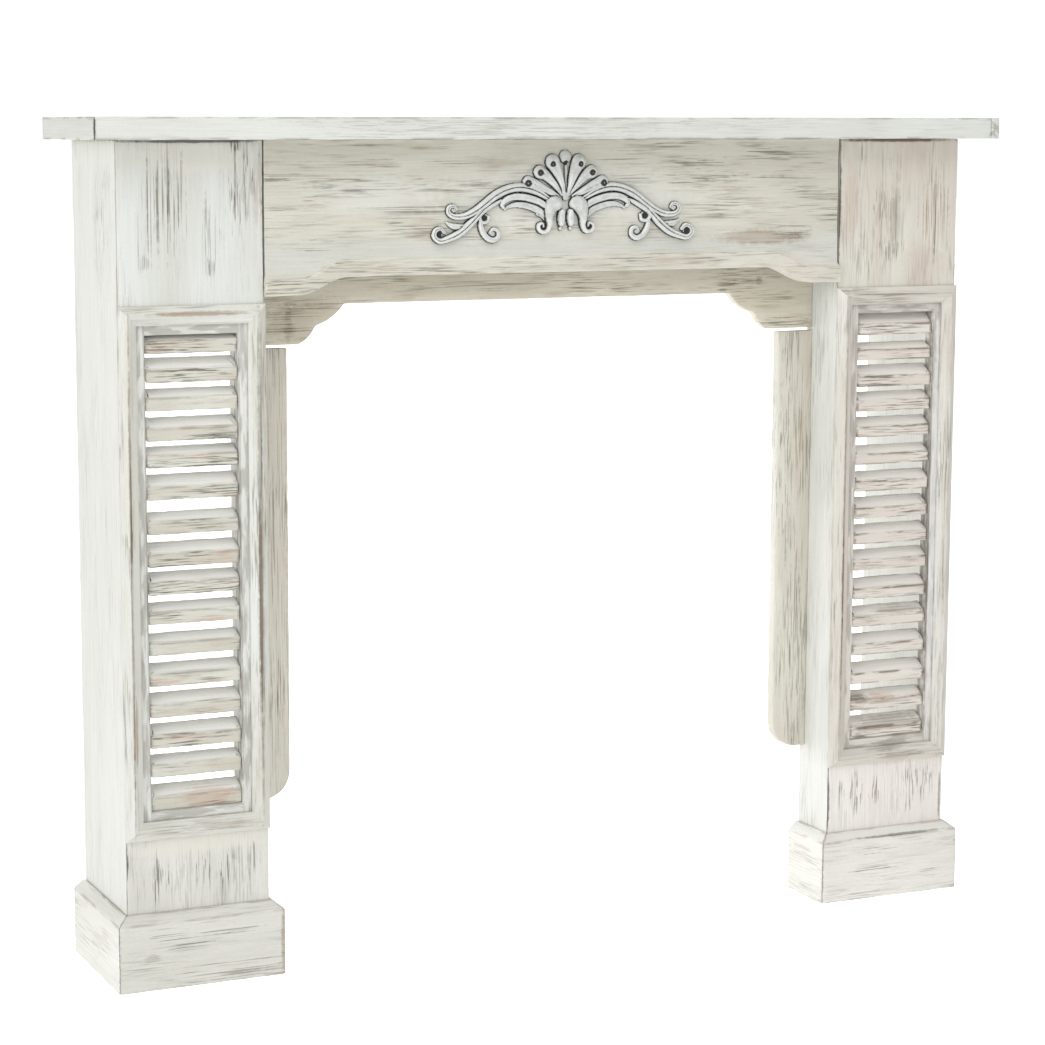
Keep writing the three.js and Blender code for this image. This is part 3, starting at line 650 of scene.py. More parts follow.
# Painted lighter than the real wash: painted light that makes up for the shade behind the frieze.
FASCIA_WASH = painted(
    "fascia wash", tint(219, 214, 197), tint(205, 198, 180), line=tint(130, 120, 102), bare=BROWN,
    edge=CREAM, lines=0.9, rubbing=0.4, marks=[
        mark(-0.2983, 0.7747, 0.0704, 0.0336, BROWN, 0.35, 0.3),
        mark(-0.3356, 0.7781, 0.0052, 0.0262, UMBER_AND_SHADE, 0.6, 0.7),
        mark(-0.3353, 0.7685, 0.0095, 0.0096, UMBER_AND_SHADE, 0.43, 0.5),
        mark(-0.3384, 0.7716, 0.0305, 0.0268, UMBER_AND_SHADE, 0.43),
        mark(-0.2427, 0.7984, 0.0778, 0.0108, UMBER_AND_SHADE, 0.4),
        mark(0.2596, 0.8112, 0.0204, 0.0140, GREY, 0.77, dashed=True),
        mark(0.3072, 0.8133, 0.0052, 0.0058, SOOT_AND_SHADE, 0.58, 0.5, dashed=True),
        mark(0.3461, 0.7589, 0.0417, 0.0103, SOOT_AND_SHADE, 0.54),
        mark(-0.0638, 0.8221, 0.0879, 0.0123, GREY, 0.59),
    ])
# Painted lighter than the real wash: painted light that makes up for the shade behind the legs.
WING_WASH = painted(
    "wing wash", tint(214, 212, 200), tint(202, 197, 184), line=tint(124, 116, 100), edge=CREAM,
    lines=0.7, marks=[
        mark(-0.3522, 0.4826, 0.0147, 0.2716, UMBER_AND_SHADE, 0.5),
        mark(0.3486, 0.5923, 0.0120, 0.1443, SOOT_AND_SHADE, 0.5, dashed=True),
        mark(0.3751, 0.3256, 0.0121, 0.1209, GREY, 0.59, dashed=True),
    ])


def cast_paint():
    """Pale paint on the carving, with a dark wash left in its hollows and rubbed bright on its ridges."""
    material = bpy.data.materials.new("ornament paint")
    material.use_nodes = True
    tree = material.node_tree
    shader = tree.nodes["Principled BSDF"]
    place = add(tree, "TexCoord").outputs["Object"]
    mottle = cloud(tree, place, (160, 160, 160), 3)
    colour = blend(tree, window(tree, mottle, 0.35, 0.65), tint(204, 207, 204), tint(186, 188, 183))
    ridge = add(tree, "Attribute", attribute_name="ridge").outputs["Fac"]
    colour = blend(tree, window(tree, ridge, 0.25, 0.9, 0.0, 0.7), colour, tint(228, 230, 229))
    wash = add(tree, "Attribute", attribute_name="wash").outputs["Fac"]
    flecks = cloud(tree, place, (420, 420, 420), 3)
    held = maths(tree, "MULTIPLY_ADD", flecks, 0.9, maths(tree, "SUBTRACT", wash, 0.45))
    colour = blend(tree, window(tree, held, 0.24, 0.58, 0.0, 0.97), colour, tint(46, 44, 41))
    tree.links.new(colour, shader.inputs["Base Color"])
    tree.links.new(window(tree, wash, 0.0, 1.0, 0.5, 0.8), shader.inputs["Roughness"])
    bump = add(tree, "Bump", {"Strength": 0.25, "Distance": 0.0005, "Height": mottle}).outputs["Normal"]
    tree.links.new(bump, shader.inputs["Normal"])
    return material


CAST = cast_paint()


# Shelf

def shelf():
    """The core board with its three edge strips, mitred at the left front corner."""
    low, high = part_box("shelf_top")
    boards = [blank("mantel_shelf", low, high)]
    low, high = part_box("shelf_edge_front")
    depth = high.y - low.y
    strip = blank("shelf_front_strip", low, high)
    slide(strip, lambda p: near(p.x, low.x) and near(p.y, high.y), (depth, 0, 0))
    boards.append(strip)
    low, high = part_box("shelf_edge_left")
    strip = blank("shelf_left_strip", low, high)
    slide(strip, lambda p: near(p.x, high.x) and near(p.y, low.y), (0, depth, 0))
    boards.append(strip)
    boards.append(blank("shelf_right_strip", *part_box("shelf_edge_right")))
    nodes = ["shelf_top", "shelf_edge_front", "shelf_edge_left", "shelf_edge_right"]
    for board, node, axis in zip(boards, nodes, (0, 0, 1, 1)):
        work(board, axis, radius=0.0009, bite=0.0007)
        dress(board, "whitewash", SHELF_PAINT, node)


# Legs

def mitred_front(name, node):
    """A front board, wide at the face and mitred back at both sides."""
    low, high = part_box(node)
    board = blank(name, low, high)
    slide(board, lambda p: near(p.y, high.y) and near(p.x, low.x), (BOARD, 0, 0))
    slide(board, lambda p: near(p.y, high.y) and near(p.x, high.x), (-BOARD, 0, 0))
    return board


def leg_side(name, node, inward):
    """A side board, mitred at its front edge. Inward is the way to its hidden face along X."""
    low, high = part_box(node)
    board = blank(name, low, high)
    hidden = high.x if inward > 0 else low.x
    slide(board, lambda p: near(p.y, low.y) and near(p.x, hidden), (0, BOARD, 0))
    return board


def shutter_frame(name, side):
    """Two stiles and two rails in one frame round the louvres."""
    low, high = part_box(f"{side}_shutter_frame")
    board = mitred_front(name, f"{side}_shutter_frame")
    first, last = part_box(f"{side}_slat_01"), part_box(f"{side}_slat_{SLATS:02d}")
    joint = 0.0003
    left, right = first[0].x - joint, first[1].x + joint
    clearance = 0.001
    bottom = last[0].z - clearance
    top = high.z - (bottom - low.z)
    for spot, normal in (((left, 0, 0), (1, 0, 0)), ((right, 0, 0), (1, 0, 0)),
                         ((0, 0, bottom), (0, 0, 1)), ((0, 0, top), (0, 0, 1))):
        pick(board, "FACE", lambda f: True)
        bpy.ops.mesh.bisect(plane_co=spot, plane_no=normal)

    def in_hole(face):
        spot = face.calc_center_median()
        return abs(face.normal.y) > 0.9 and left < spot.x < right and bottom < spot.z < top
    pick(board, "FACE", in_hole)
    bpy.ops.mesh.bridge_edge_loops()
    bpy.ops.object.mode_set(mode="OBJECT")
    return board


def panel_moulding(name, side):
    """A mitred frame with a rounded ridge, a stepped inner slope and a thin outer edge."""
    low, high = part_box(f"{side}_panel_moulding")
    ridge = high.y - low.y
    middle, size = (low + high) / 2, high - low
    deselect()
    bpy.ops.mesh.primitive_plane_add(size=1, location=(middle.x, high.y, middle.z),
                                     rotation=(math.radians(90), 0, 0))
    bpy.ops.object.transform_apply(location=True, rotation=True, scale=True)
    frame_piece = bpy.context.object
    frame_piece.name = frame_piece.data.name = name
    points = places(frame_piece)
    points[:, 0] = middle.x + np.sign(points[:, 0] - middle.x) * size.x / 2
    points[:, 2] = middle.z + np.sign(points[:, 2] - middle.z) * size.z / 2
    points[:, 1] = high.y - 0.0027
    put(frame_piece, points)
    # Each step of the profile: how far in from the one before, and how high above the leg's front.
    profile = ((0.0015, 0.0036), (0.0062, 0.0084), (0.0021, 0.0097), (0.0022, 0.0094), (0.0018, 0.0082),
               (0.0010, 0.0070), (0.0045, 0.0050), (0.0010, 0.0038), (0.0016, 0.0029))
    height = 0.0027
    pick(frame_piece, "FACE", lambda f: True)
    for step, level in profile:
        bpy.ops.mesh.inset(thickness=step, use_even_offset=True)
        bpy.ops.transform.translate(value=(0, height - level, 0))
        height = level
    bpy.ops.mesh.delete(type="FACE")
    pick(frame_piece, "EDGE", lambda e: e.is_boundary)
    bpy.ops.mesh.extrude_edges_move()
    bpy.ops.object.mode_set(mode="OBJECT")
    shape = bmesh.new()
    shape.from_mesh(frame_piece.data)
    for corner in shape.verts:
        if any(e.is_boundary for e in corner.link_edges):
            corner.co.y = high.y
    shape.to_mesh(frame_piece.data)
    shape.free()
    pick(frame_piece, "EDGE", lambda e: e.is_boundary)
    bpy.ops.mesh.bridge_edge_loops()
    bpy.ops.mesh.select_all(action="SELECT")
    bpy.ops.mesh.normals_make_consistent(inside=False)
    bpy.ops.object.mode_set(mode="OBJECT")
    return frame_piece


def slat(name, side, number):
    """A louvre that leans back from an upright nose."""
    low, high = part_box(f"{side}_slat_{number:02d}")
    nose = NOSES[side]
    rise = high.z - low.z - nose
    board = blank(name, low, (high.x, high.y, low.z + nose))

    def end_of_nose(edge):
        first, last = (v.co for v in edge.verts)
        return near(first.y, low.y) and near(last.y, low.y) and near(first.x, last.x)
    pick(board, "EDGE", end_of_nose)
    bpy.ops.mesh.bevel(offset=0.003, segments=4, affect="EDGES")
    bpy.ops.object.mode_set(mode="OBJECT")
    points = places(board)
    points[:, 2] += rise * (points[:, 1] - low.y) / (high.y - low.y)
    put(board, points)
    return board


def plinth_board(name, node, out, mitres):
    """One board of a plinth. Out is its outward way, and mitres say which ends are cut back."""
    low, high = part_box(node)
    bevel_height, bevel_width = 0.010, 0.012
    shoulder = high.z - bevel_height
    board = blank(name, low, (high.x, high.y, shoulder))
    pick(board, "FACE", lambda f: f.normal.z > 0.9)
    bpy.ops.mesh.extrude_region_move(TRANSFORM_OT_translate={"value": (0, 0, bevel_height)})
    bpy.ops.object.mode_set(mode="OBJECT")
    axis = 0 if out[0] else 1
    along = 1 - axis
    face = (low if out[axis] < 0 else high)[axis]
    back = (high if out[axis] < 0 else low)[axis]
    points = places(board)
    upper = points[:, 2] > shoulder + 1e-4
    front = np.abs(points[:, axis] - face) < 1e-4
    points[upper & front, axis] -= out[axis] * bevel_width
    for end, mitred in zip((low[along], high[along]), mitres):
        if mitred:
            at_end = np.abs(points[:, along] - end) < 1e-4
            inward = 1 if end == low[along] else -1
            points[at_end, along] += inward * np.abs(points[at_end, axis] - face)
    put(board, points)
    return board


def leg(side, sign):
    """One leg with its boards, shutter, moulding, louvres and plinth."""
    for part, paint in (("head", HEADS[side]), ("foot", FEET[side])):
        board = mitred_front(f"{side}_{part}", f"{side}_{part}_board")
        work(board, 2)
        dress(board, "whitewash", paint, f"{side}_{part}_board")
    for place, part, inward, paint in (("outside", "outer", -sign, OUTER_SIDE),
                                       ("inside", "inner", sign, INNER_SIDE)):
        board = leg_side(f"{side}_leg_{place}", f"{side}_{part}_side", inward)
        work(board, 2)
        dress(board, "whitewash", paint, f"{side}_{part}_side")
    panel(side)
    for number in range(1, SLATS + 1):
        board = slat(f"{side}_louvre_{number:02d}", side, number)
        work(board, 0, radius=0.0012, rim=0.004, step=0.005, bite=0.0009, grain=(130, 130, 130))
        points = places(board)
        # Only the nose takes the open-grain paint; the slope takes the lighter slope paint, partly
        # painted light from above.
        keep_value(board, "open_grain", np.clip(1 - (points[:, 1] - points[:, 1].min()) / 0.004, 0, 1))
        dress(board, "whitewash", LOUVRES[side], f"{side}_slat_{number:02d}")
    for place, part, out, mitres, axis in (("face", "front", (0, -1), (True, True), 0),
                                           ("outside", "outer", (sign, 0), (True, False), 1),
                                           ("inside", "inner", (-sign, 0), (True, False), 1)):
        board = plinth_board(f"{side}_plinth_{place}", f"{side}_plinth_{part}", out, mitres)
        work(board, axis, radius=0.0014, rim=0.005, step=0.010)
        paint = PLINTHS[side] if part == "front" else PLINTH_SIDE
        dress(board, "whitewash", paint, f"{side}_plinth_{part}")


def panel(side):
    """The shutter frame and the moulding round it."""
    low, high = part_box(f"{side}_panel_moulding")
    middle = (low + high) / 2
    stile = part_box(f"{side}_slat_01")[0].x
    half_hole = abs(stile - middle.x)
    shutter = shutter_frame(f"{side}_shutter", side)
    lines = arrises(shutter)
    ease(shutter, 0.0008)
    weather(shutter, lines, 0.0005)
    lay_frame_grain(shutter, lambda p: abs(p.x - middle.x) > half_hole)
    dress(shutter, "whitewash", SHUTTERS[side], f"{side}_shutter_frame")
    moulding = panel_moulding(f"{side}_moulding", side)
    ridge = 0.0105
    loop = [(low.x + ridge, low.z + ridge), (high.x - ridge, low.z + ridge),
            (high.x - ridge, high.z - ridge), (low.x + ridge, high.z - ridge)]
    crest = [(x, low.y, z) for x, z in loop]
    lines = np.array(list(zip(crest, crest[1:] + crest[:1])))
    cut_along(moulding, 2, 0.010)
    weather(moulding, lines, 0.0005, 0.004)
    half = (high - low) / 2
    lay_frame_grain(moulding, lambda p: half.x - abs(p.x - middle.x) < half.z - abs(p.z - middle.z))
    dress(moulding, "whitewash", MOULDINGS[side], f"{side}_panel_moulding")


# Frieze, fascia and wings

def shaped_board(name, face, back):
    """A board from the rows of points of its face, bottom row first, and the depth of its back."""
    rows, columns = face.shape[:2]
    deselect()
    bpy.ops.mesh.primitive_grid_add(x_subdivisions=columns - 1, y_subdivisions=rows - 1, size=1,
                                    rotation=(math.radians(90), 0, 0))
    bpy.ops.object.transform_apply(location=True, rotation=True, scale=True)
    board = bpy.context.object
    board.name = board.data.name = name
    points = places(board).round(5)
    points[np.lexsort((points[:, 0], points[:, 2]))] = face.reshape(-1, 3)
    put(board, points)
    pick(board, "FACE", lambda f: True)
    bpy.ops.mesh.extrude_region_move(TRANSFORM_OT_translate={"value": (0, BOARD / 2, 0)})
    shape = bmesh.from_edit_mesh(board.data)
    for corner in shape.verts:
        if corner.select:
            corner.co.y = back
    bmesh.update_edit_mesh(board.data)
    bpy.ops.mesh.select_all(action="SELECT")
    bpy.ops.mesh.normals_make_consistent(inside=False)
    bpy.ops.object.mode_set(mode="OBJECT")
    return board


def frieze():
    """The board between the legs, with a lip and a cove along its arched lower edge."""
    low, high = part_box("frieze")
    foot_inset, run, rise = 0.039, 0.066, 0.021
    lip, proud, rounding, cove = 0.020, FRONT - low.y, 0.0015, 0.014
    columns = np.linspace(low.x, high.x, 131)
    along = np.clip((HALF_OPENING - foot_inset - np.abs(columns)) / run, 0, 1)
    edge = low.z + rise * (1 - np.cos(np.pi * along)) / 2
    cove_top = low.z + rise + lip + cove
    lip_top = edge + lip
    turn = rounding * 0.3
    rows = [(low.y + rounding, edge), (low.y + turn, edge + turn), (low.y, edge + rounding)]
    rows += [(low.y, edge + lip * share) for share in (0.35, 0.65)]
    rows += [(low.y, lip_top - rounding), (low.y + turn, lip_top - turn), (low.y + rounding, lip_top)]
    step = 0.0026
    for share in np.linspace(0, 1, 9):
        depth = FRONT - (proud - step) * (1 - share) ** 2
        rows.append((depth, lip_top + 0.0002 + (cove_top - lip_top) * share))
    rows += [(FRONT, cove_top + (high.z - cove_top) * share) for share in np.linspace(0, 1, 13)[1:]]
    face = np.array([[(x, y, z) for x, z in zip(columns, np.broadcast_to(heights, columns.shape))]
                     for y, heights in rows])
    board = shaped_board("frieze_board", face, high.y)
    lines = arrises(board, 40)
    points = places(board)
    above = np.clip((points[:, 2] - low.z - lip) / 0.004, 0, 1)
    ragged = np.array([noise.noise(Vector((3.1, 0, p[2] * 26))) for p in points])
    gap = np.clip(0.0024 + 0.0022 * ragged, 0.0008, 0.0044)
    points[:, 0] += above * (points[:, 0] < low.x + 1e-4) * 0.0012
    points[:, 0] -= above * (points[:, 0] > high.x - 1e-4) * gap
    put(board, points)
    weather(board, lines, 0.0006)
    lay_grain(board, 0)
    # The stored share falls on the cove above the lip, which takes the bluish painted highlight.
    run_in = np.clip((HALF_OPENING - foot_inset - np.abs(points[:, 0])) / run, 0, 1)
    over_lip = points[:, 2] - low.z - rise * (1 - np.cos(np.pi * run_in)) / 2 - lip
    fade = np.clip((cove_top + 0.016 - points[:, 2]) / 0.016, 0, 1)
    keep_value(board, "open_grain", 1 - 0.8 * np.clip(over_lip / 0.001, 0, 1) * fade)
    dress(board, "warm_wash", FRIEZE_PAINT, "frieze")


def arc(start, end, bulge, steps):
    """Points of a shallow arc that stands out below the straight line between its ends."""
    start, end = np.array(start), np.array(end)
    chord = end - start
    left = np.array((-chord[1], chord[0]))
    return [start + chord * t + left * 4 * bulge * t * (1 - t) for t in np.linspace(0, 1, steps + 1)]


def fascia():
    """The board at the back, with a two-lobed bracket at each end."""
    low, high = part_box("rear_fascia")
    foot, bulge = (HALF_OPENING - 0.066, low.z), 0.09
    before = (foot[0] - 0.0205, foot[1] + 0.0205)
    after = (before[0] - 0.0045, before[1] + 0.0025)
    crown = (after[0] - 0.0325, after[1] + 0.024)
    ends = [np.array((x, low.z)) for x in np.linspace(high.x, foot[0], 8)[:-1]]
    half = ends + arc(foot, before, bulge, 8) + arc(after, crown, bulge, 10)
    middle = [np.array((x, crown[1])) for x in np.linspace(crown[0], 0, 30)[1:]]
    right = np.array(half + middle)
    left = right[:-1] * (-1, 1)
    outline = np.concatenate([left, right[::-1]])
    columns, edge = outline[:, 0], outline[:, 1]
    face = np.array([[(x, low.y, z + (high.z - z) * share) for x, z in zip(columns, edge)]
                     for share in np.linspace(0, 1, 16)])
    board = shaped_board("fascia_board", face, high.y)
    lines = arrises(board, 40)
    ease(board, 0.0006, 2, 60)
    weather(board, lines, 0.0006)
    lay_grain(board, 0)
    dress(board, "taupe_wash", FASCIA_WASH, "rear_fascia")


def wing(side, sign):
    """A board down the back of the opening's side, its lower inner corner rounded."""
    low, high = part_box(f"{side}_wing")
    board = blank(f"{side}_wing_board", low, high)
    inner = low.x if sign > 0 else high.x
    pick(board, "EDGE", lambda e: all(near(v.co.x, inner) and near(v.co.z, low.z) for v in e.verts))
    bpy.ops.mesh.bevel(offset=0.035, segments=12, affect="EDGES")
    bpy.ops.object.mode_set(mode="OBJECT")
    work(board, 2, radius=0.0008)
    dress(board, "warm_wash", WING_WASH, f"{side}_wing")


# Carved shell. A run of carving is a smooth curve through places that each say how far they lie from
# the shell's middle, how high above its foot, and half the run's width, all in millimetres.

LOBES = [
    [(1.5, 40, 1.6), (4, 52, 3.2), (8.5, 65, 5.4), (13.5, 77, 7.8), (17.4, 84.6, 9.8)],
    [(5, 45, 1.6), (12, 54, 3.4), (20, 62.5, 5), (28, 69.4, 6.6), (34.6, 72.6, 8.4)],
    [(10, 44, 2), (20, 48, 4.2), (30, 52.5, 5.6), (40, 57, 7), (49.4, 60, 8.6)],
]
EYES = [(18.9, 82.2, 3.2), (35, 72, 3.7), (51, 59.4, 4), (167, -1, 3.1), (107.8, 19.2, 2.9)]
DISCS = [(167, -1, 5.6), (107.8, 19.2, 5.2), (149.6, 28.6, 4.6), (97.4, -1, 5.4), (31.4, 6, 5)]
UPPER_ARM = [
    (22, 40, 3), (38, 49, 5), (52, 53.5, 5.6), (66, 54.5, 5.6), (80, 51.5, 5.6), (94, 45, 5.6),
    (108, 35, 5.4), (120, 27, 5), (131, 22, 4.4), (140, 20.4, 4), (149, 21, 3.5), (155.2, 26, 3),
    (153.6, 32, 2.7), (147.6, 33, 2.3), (145, 29, 2), (148.4, 26.6, 1.7)]
LOWER_ARM = [
    (108, 30, 3), (118, 20.6, 4.6), (130, 9, 5.2), (142.8, -0.4, 5), (156.4, -6, 4.2), (167, -8, 3.7),
    (173.6, -2.4, 3.3), (171.6, 4.4, 3), (165.2, 6.4, 2.7), (160.4, 2, 2.4)]
INNER_ARMS = [
    [
        (26, 31, 4), (35, 36.6, 4.6), (46, 40.4, 4.8), (58, 43, 4.6), (70, 43.2, 4.4),
        (79.4, 40.2, 4), (84.8, 35, 3), (83, 31, 2.2)],
    [
        (26, 19, 3.5), (34, 25.6, 4.5), (44, 30.4, 4.6), (56, 33.4, 4.2), (67, 33.8, 3.4),
        (76, 31.6, 2.2), (81, 28.4, 1.4)],
]
BRANCH = [
    (86, 39, 2.2), (97, 34, 3.2), (108, 27.5, 3.4), (114.8, 20.4, 3.2), (111.6, 13.4, 2.8),
    (104.4, 14, 2.5), (102.4, 19.6, 2.2)]
BRANCH_STEM = [
    (113, 14, 3), (112.4, 7, 3.5), (109, -0.4, 3.8), (103.4, -6, 3.8), (96, -8, 3.6), (90, -3.6, 3.2),
    (91, 3, 2.8), (96.6, 4.6, 2.4), (99.8, 0.4, 2), (96.4, -2, 1.8)]
PETAL = [
    (13, 34, 8.4), (16.6, 34.6, 10.4), (20, 31.6, 10), (22.6, 24.6, 7.6), (23, 16.6, 5),
    (22.4, 9.6, 3.6), (25, 3, 3.2), (30.4, 0.6, 2.9), (35.8, 3.4, 2.7), (36.2, 9, 2.4), (31.6, 11, 2),
    (30, 7.4, 1.7)]
LEAVES = [
    [(27, 14, 2), (30, 19.5, 2.8), (38.4, 22.4, 1.2)],
    [(128, 9, 2), (138, 8.6, 3.4), (147, 8.8, 4), (153, 11, 2.6), (157, 13.6, 1.2)],
]
BUD = [(6.4, 11, 4), (6.2, 17.4, 5), (6, 24.6, 4)]
BUD_FOOT = [(6.6, 6, 2.2), (6.8, 4.4, 2.2)]
CROWN = [(0, 83, 1.6), (0, 87.4, 5.2), (0, 91, 8.2)]
STEM = [(0, 40, 1.3), (0, 60, 1.3), (0, 82, 1.6)]


def smooth_run(points, step=0.5):
    """Fills in a smooth curve between the places of a run."""
    points = np.array(points, float)
    padded = np.vstack([2 * points[0] - points[1], points, 2 * points[-1] - points[-2]])
    filled = []
    for a, b, c, d in zip(padded, padded[1:], padded[2:], padded[3:]):
        count = max(2, int(np.hypot(*(c - b)[:2]) / step))
        t = np.linspace(0, 1, count, endpoint=False)[:, None]
        square, cube = 2 * a - 5 * b + 4 * c - d, 3 * (b - c) + d - a
        filled.append((2 * b + (c - a) * t + square * t ** 2 + cube * t ** 3) / 2)
    return np.vstack(filled + [points[-1:]])


def raise_run(ground, across, upward, points, crown, flute=0.0, mirrored=True):
    """Raises a rounded run of carving, with a flute down its middle, on both sides of the shell."""
    run = smooth_run(points)
    for side in ((1, -1) if mirrored else (1,)):
        reach = np.full(ground.shape, 2.0)
        thick = np.zeros(ground.shape)
        for x, z, half in run:
            i, i_end = np.searchsorted(across, (side * x - half, side * x + half))
            j, j_end = np.searchsorted(upward, (z - half, z + half))
            share = np.hypot(across[None, i:i_end] - side * x, upward[j:j_end, None] - z) / half
            nearer = share < reach[j:j_end, i:i_end]
            reach[j:j_end, i:i_end][nearer] = share[nearer]
            thick[j:j_end, i:i_end][nearer] = half
        body = crown * np.clip(thick / 4, 0.5, 1) * np.sqrt(np.clip(1 - reach ** 2, 0, 1))
        rise = np.where(reach < 1, np.maximum(body - flute * np.exp(-(reach / 0.28) ** 2), 0.3), 0)
        np.maximum(ground, rise, out=ground)


def soften(ground, width):
    """Averages a relief over a round neighbourhood."""
    steps = np.arange(-int(3 * width), int(3 * width) + 1)
    weight = np.exp(-(steps / width) ** 2 / 2)
    weight /= weight.sum()
    for axis in (0, 1):
        ground = np.apply_along_axis(np.convolve, axis, ground, weight, mode="same")
    return ground


def carving(across, upward):
    """The relief of the shell above the frieze, and where its hollows hold the dark wash."""
    ground = np.zeros((len(upward), len(across)))
    raise_run(ground, across, upward, CROWN, 4.5, mirrored=False)
    for lobe, crown in zip(LOBES, (8.4, 7.6, 7.0)):
        raise_run(ground, across, upward, lobe, crown, 1.3)
    raise_run(ground, across, upward, STEM, 7.5, mirrored=False)
    for arm, crown in zip(INNER_ARMS, (7.6, 5.2)):
        raise_run(ground, across, upward, arm, crown, 0.9)
    raise_run(ground, across, upward, UPPER_ARM, 7.4, 2.2)
    raise_run(ground, across, upward, LOWER_ARM, 7.4, 2.2)
    raise_run(ground, across, upward, BRANCH, 7.0)
    raise_run(ground, across, upward, BRANCH_STEM, 6.6, 1.0)
    for leaf in LEAVES:
        raise_run(ground, across, upward, leaf, 5.0, 1.0)
    raise_run(ground, across, upward, PETAL, 10.6)
    for x, z, half in DISCS:
        raise_run(ground, across, upward, [(x - 0.3, z, half), (x + 0.3, z, half)], 2.6)
    raise_run(ground, across, upward, BUD, 9.0, 0.8)
    raise_run(ground, across, upward, BUD_FOOT, 6.5)
    solid = ground > 0.1
    x, z = np.meshgrid(across, upward)
    pits = np.exp(-(np.hypot(x, z - 83.6) / 2.8) ** 4) + np.exp(-(np.hypot(x, z - 8) / 2.6) ** 4)
    for eye_x, eye_z, size in EYES:
        away = np.hypot(np.abs(x) - eye_x, z - eye_z)
        pits += np.exp(-(away / size) ** 4) - 0.9 * np.exp(-(away / (size * 0.4)) ** 2) * (size > 3.15)
    ground = soften(ground, 0.6)
    hollow = soften(ground, 3.0) - ground
    crease = soften(ground, 1.2) - ground
    ground -= 3.2 * np.clip(pits, 0, 1) * solid
    wash = np.clip(crease / 0.6, 0, 0.7) + np.clip(hollow / 2.0, 0, 0.6) + np.clip(pits * 1.5, 0, 1)
    ridge = np.clip(-crease / 0.5, 0, 1)
    return np.where(solid, np.clip(ground, 0.25, 11.3), 0), wash, ridge


def ornament():
    """The shell with its arms, raised from a fine sheet and cut out round its outline."""
    low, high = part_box("ornament")
    foot = 0.882
    columns, rows = 520, 168
    deselect()
    bpy.ops.mesh.primitive_grid_add(x_subdivisions=columns - 1, y_subdivisions=rows - 1, size=1,
                                    rotation=(math.radians(90), 0, 0))
    bpy.ops.object.transform_apply(location=True, rotation=True, scale=True)
    shell = bpy.context.object
    shell.name = shell.data.name = "shell_ornament"
    across = np.linspace(low.x, high.x, columns)
    upward = np.linspace(low.z, high.z, rows)
    relief, wash, ridge = carving(across * 1000, (upward - foot) * 1000)
    flat = places(shell).round(5)
    order = np.lexsort((flat[:, 0], flat[:, 2]))
    x, z = np.meshgrid(across, upward)
    foot_depth = high.y - 0.0004
    flat[order] = np.stack([x, foot_depth - relief * 0.001, z], axis=2).reshape(-1, 3)
    put(shell, flat)
    for name, values in (("wash", wash), ("ridge", ridge)):
        placed = np.empty(columns * rows)
        placed[order] = values.ravel()
        keep_value(shell, name, placed)
    pick(shell, "FACE", lambda f: min(v.co.y for v in f.verts) > foot_depth - 0.0002)
    bpy.ops.mesh.delete(type="FACE")
    bpy.ops.mesh.select_all(action="SELECT")
    bpy.ops.mesh.delete_loose()
    bpy.ops.mesh.select_all(action="SELECT")
    bpy.ops.mesh.extrude_region_move(TRANSFORM_OT_translate={"value": (0, 0.0004, 0)})
    shape = bmesh.from_edit_mesh(shell.data)
    for corner in shape.verts:
        if corner.select:
            corner.co.y = high.y
    bmesh.update_edit_mesh(shell.data)
    bpy.ops.mesh.select_all(action="SELECT")
    bpy.ops.mesh.normals_make_consistent(inside=False)
    bpy.ops.object.mode_set(mode="OBJECT")
    dress(shell, "ornament_paint", CAST, "ornament", smooth=50)


# Camera, light and floor

def camera():
    """Stands where the photograph was taken from."""
    view = bpy.data.cameras.new("view")
    view.lens, view.sensor_width = 93.94, 36
    view.shift_x, view.shift_y = 0.0721, -0.0127
    view.clip_start, view.clip_end = 0.05, 200
    stand = bpy.data.objects.new("view", view)
    bpy.context.scene.collection.objects.link(stand)
    stand.location = (-1.4571, -3.0681, 1.0077)
    stand.rotation_euler = (math.radians(90) - 0.139, 0, -0.4095)
    bpy.context.scene.camera = stand


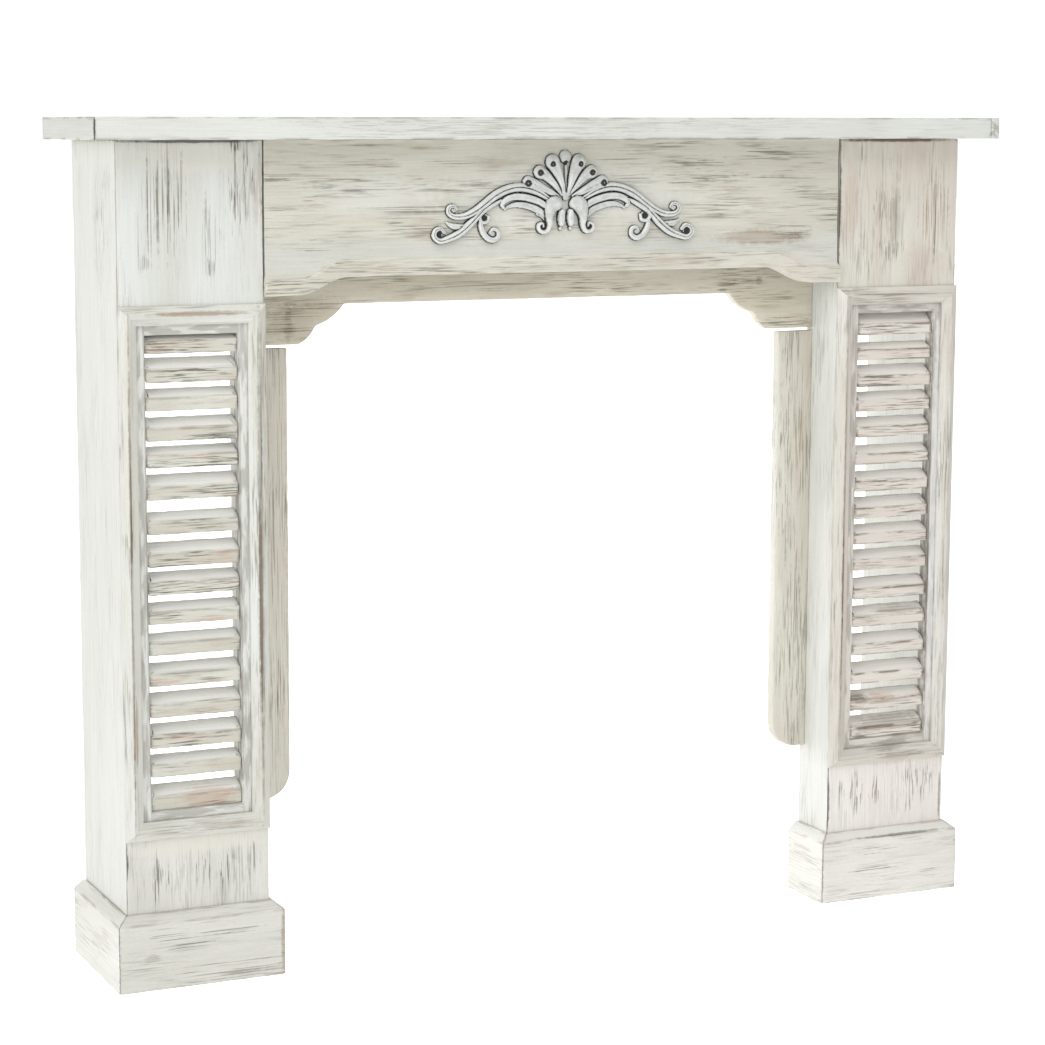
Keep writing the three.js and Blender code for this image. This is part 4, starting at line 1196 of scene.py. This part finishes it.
def lamp(name, place, target, size, power):
    """A soft white lamp that the camera doesn't see."""
    light = bpy.data.lights.new(name, "AREA")
    light.shape = "RECTANGLE"
    light.size, light.size_y = size
    light.energy = power
    stand = bpy.data.objects.new(name, light)
    bpy.context.scene.collection.objects.link(stand)
    stand.location = place
    stand.rotation_euler = (Vector(target) - Vector(place)).to_track_quat("-Z", "Y").to_euler()
    stand.visible_camera = False


def studio():
    """A white room with soft lamps and a plain pale floor."""
    scene = bpy.context.scene
    scene.view_settings.view_transform = "Standard"
    world = bpy.data.worlds.new("studio")
    scene.world = world
    world.use_nodes = True
    tree = world.node_tree
    backdrop = tree.nodes["Background"]
    backdrop.inputs["Color"].default_value = (1, 1, 1, 1)
    path = tree.nodes.new("ShaderNodeLightPath")
    level = tree.nodes.new("ShaderNodeMapRange")
    level.inputs["To Min"].default_value = 0.56
    level.inputs["To Max"].default_value = 1.05
    tree.links.new(path.outputs["Is Camera Ray"], level.inputs["Value"])
    tree.links.new(level.outputs["Result"], backdrop.inputs["Strength"])
    lamp("key", (-3.9, -1.7, 1.6), (0, 0, 0.4), (2.4, 2.4), 54)
    lamp("overhead", (-0.3, -1.6, 3.0), (0, 0, 0.4), (2.5, 2.0), 34)
    lamp("behind", (-0.35, 1.3, 0.6), (0.53, 0.05, 0.5), (0.5, 1.2), 9)
    deselect()
    bpy.ops.mesh.primitive_plane_add(size=60, location=(0, 0, 0))
    floor = bpy.context.object
    floor.name = "floor"
    pale = bpy.data.materials.new("pale floor")
    pale.use_nodes = True
    shader = pale.node_tree.nodes["Principled BSDF"]
    shader.inputs["Base Color"].default_value = (0.9, 0.9, 0.9, 1)
    shader.inputs["Roughness"].default_value = 0.8
    shader.inputs["Emission Color"].default_value = (1, 1, 1, 1)
    path = pale.node_tree.nodes.new("ShaderNodeLightPath")
    glow = pale.node_tree.nodes.new("ShaderNodeMapRange")
    glow.inputs["To Min"].default_value = 0.42
    glow.inputs["To Max"].default_value = 1.0
    pale.node_tree.links.new(path.outputs["Is Camera Ray"], glow.inputs["Value"])
    pale.node_tree.links.new(glow.outputs["Result"], shader.inputs["Emission Strength"])
    floor.data.materials.append(pale)


shelf()
for side, sign in LEGS.items():
    leg(side, sign)
    wing(side, sign)
frieze()
fascia()
ornament()

camera()
studio()
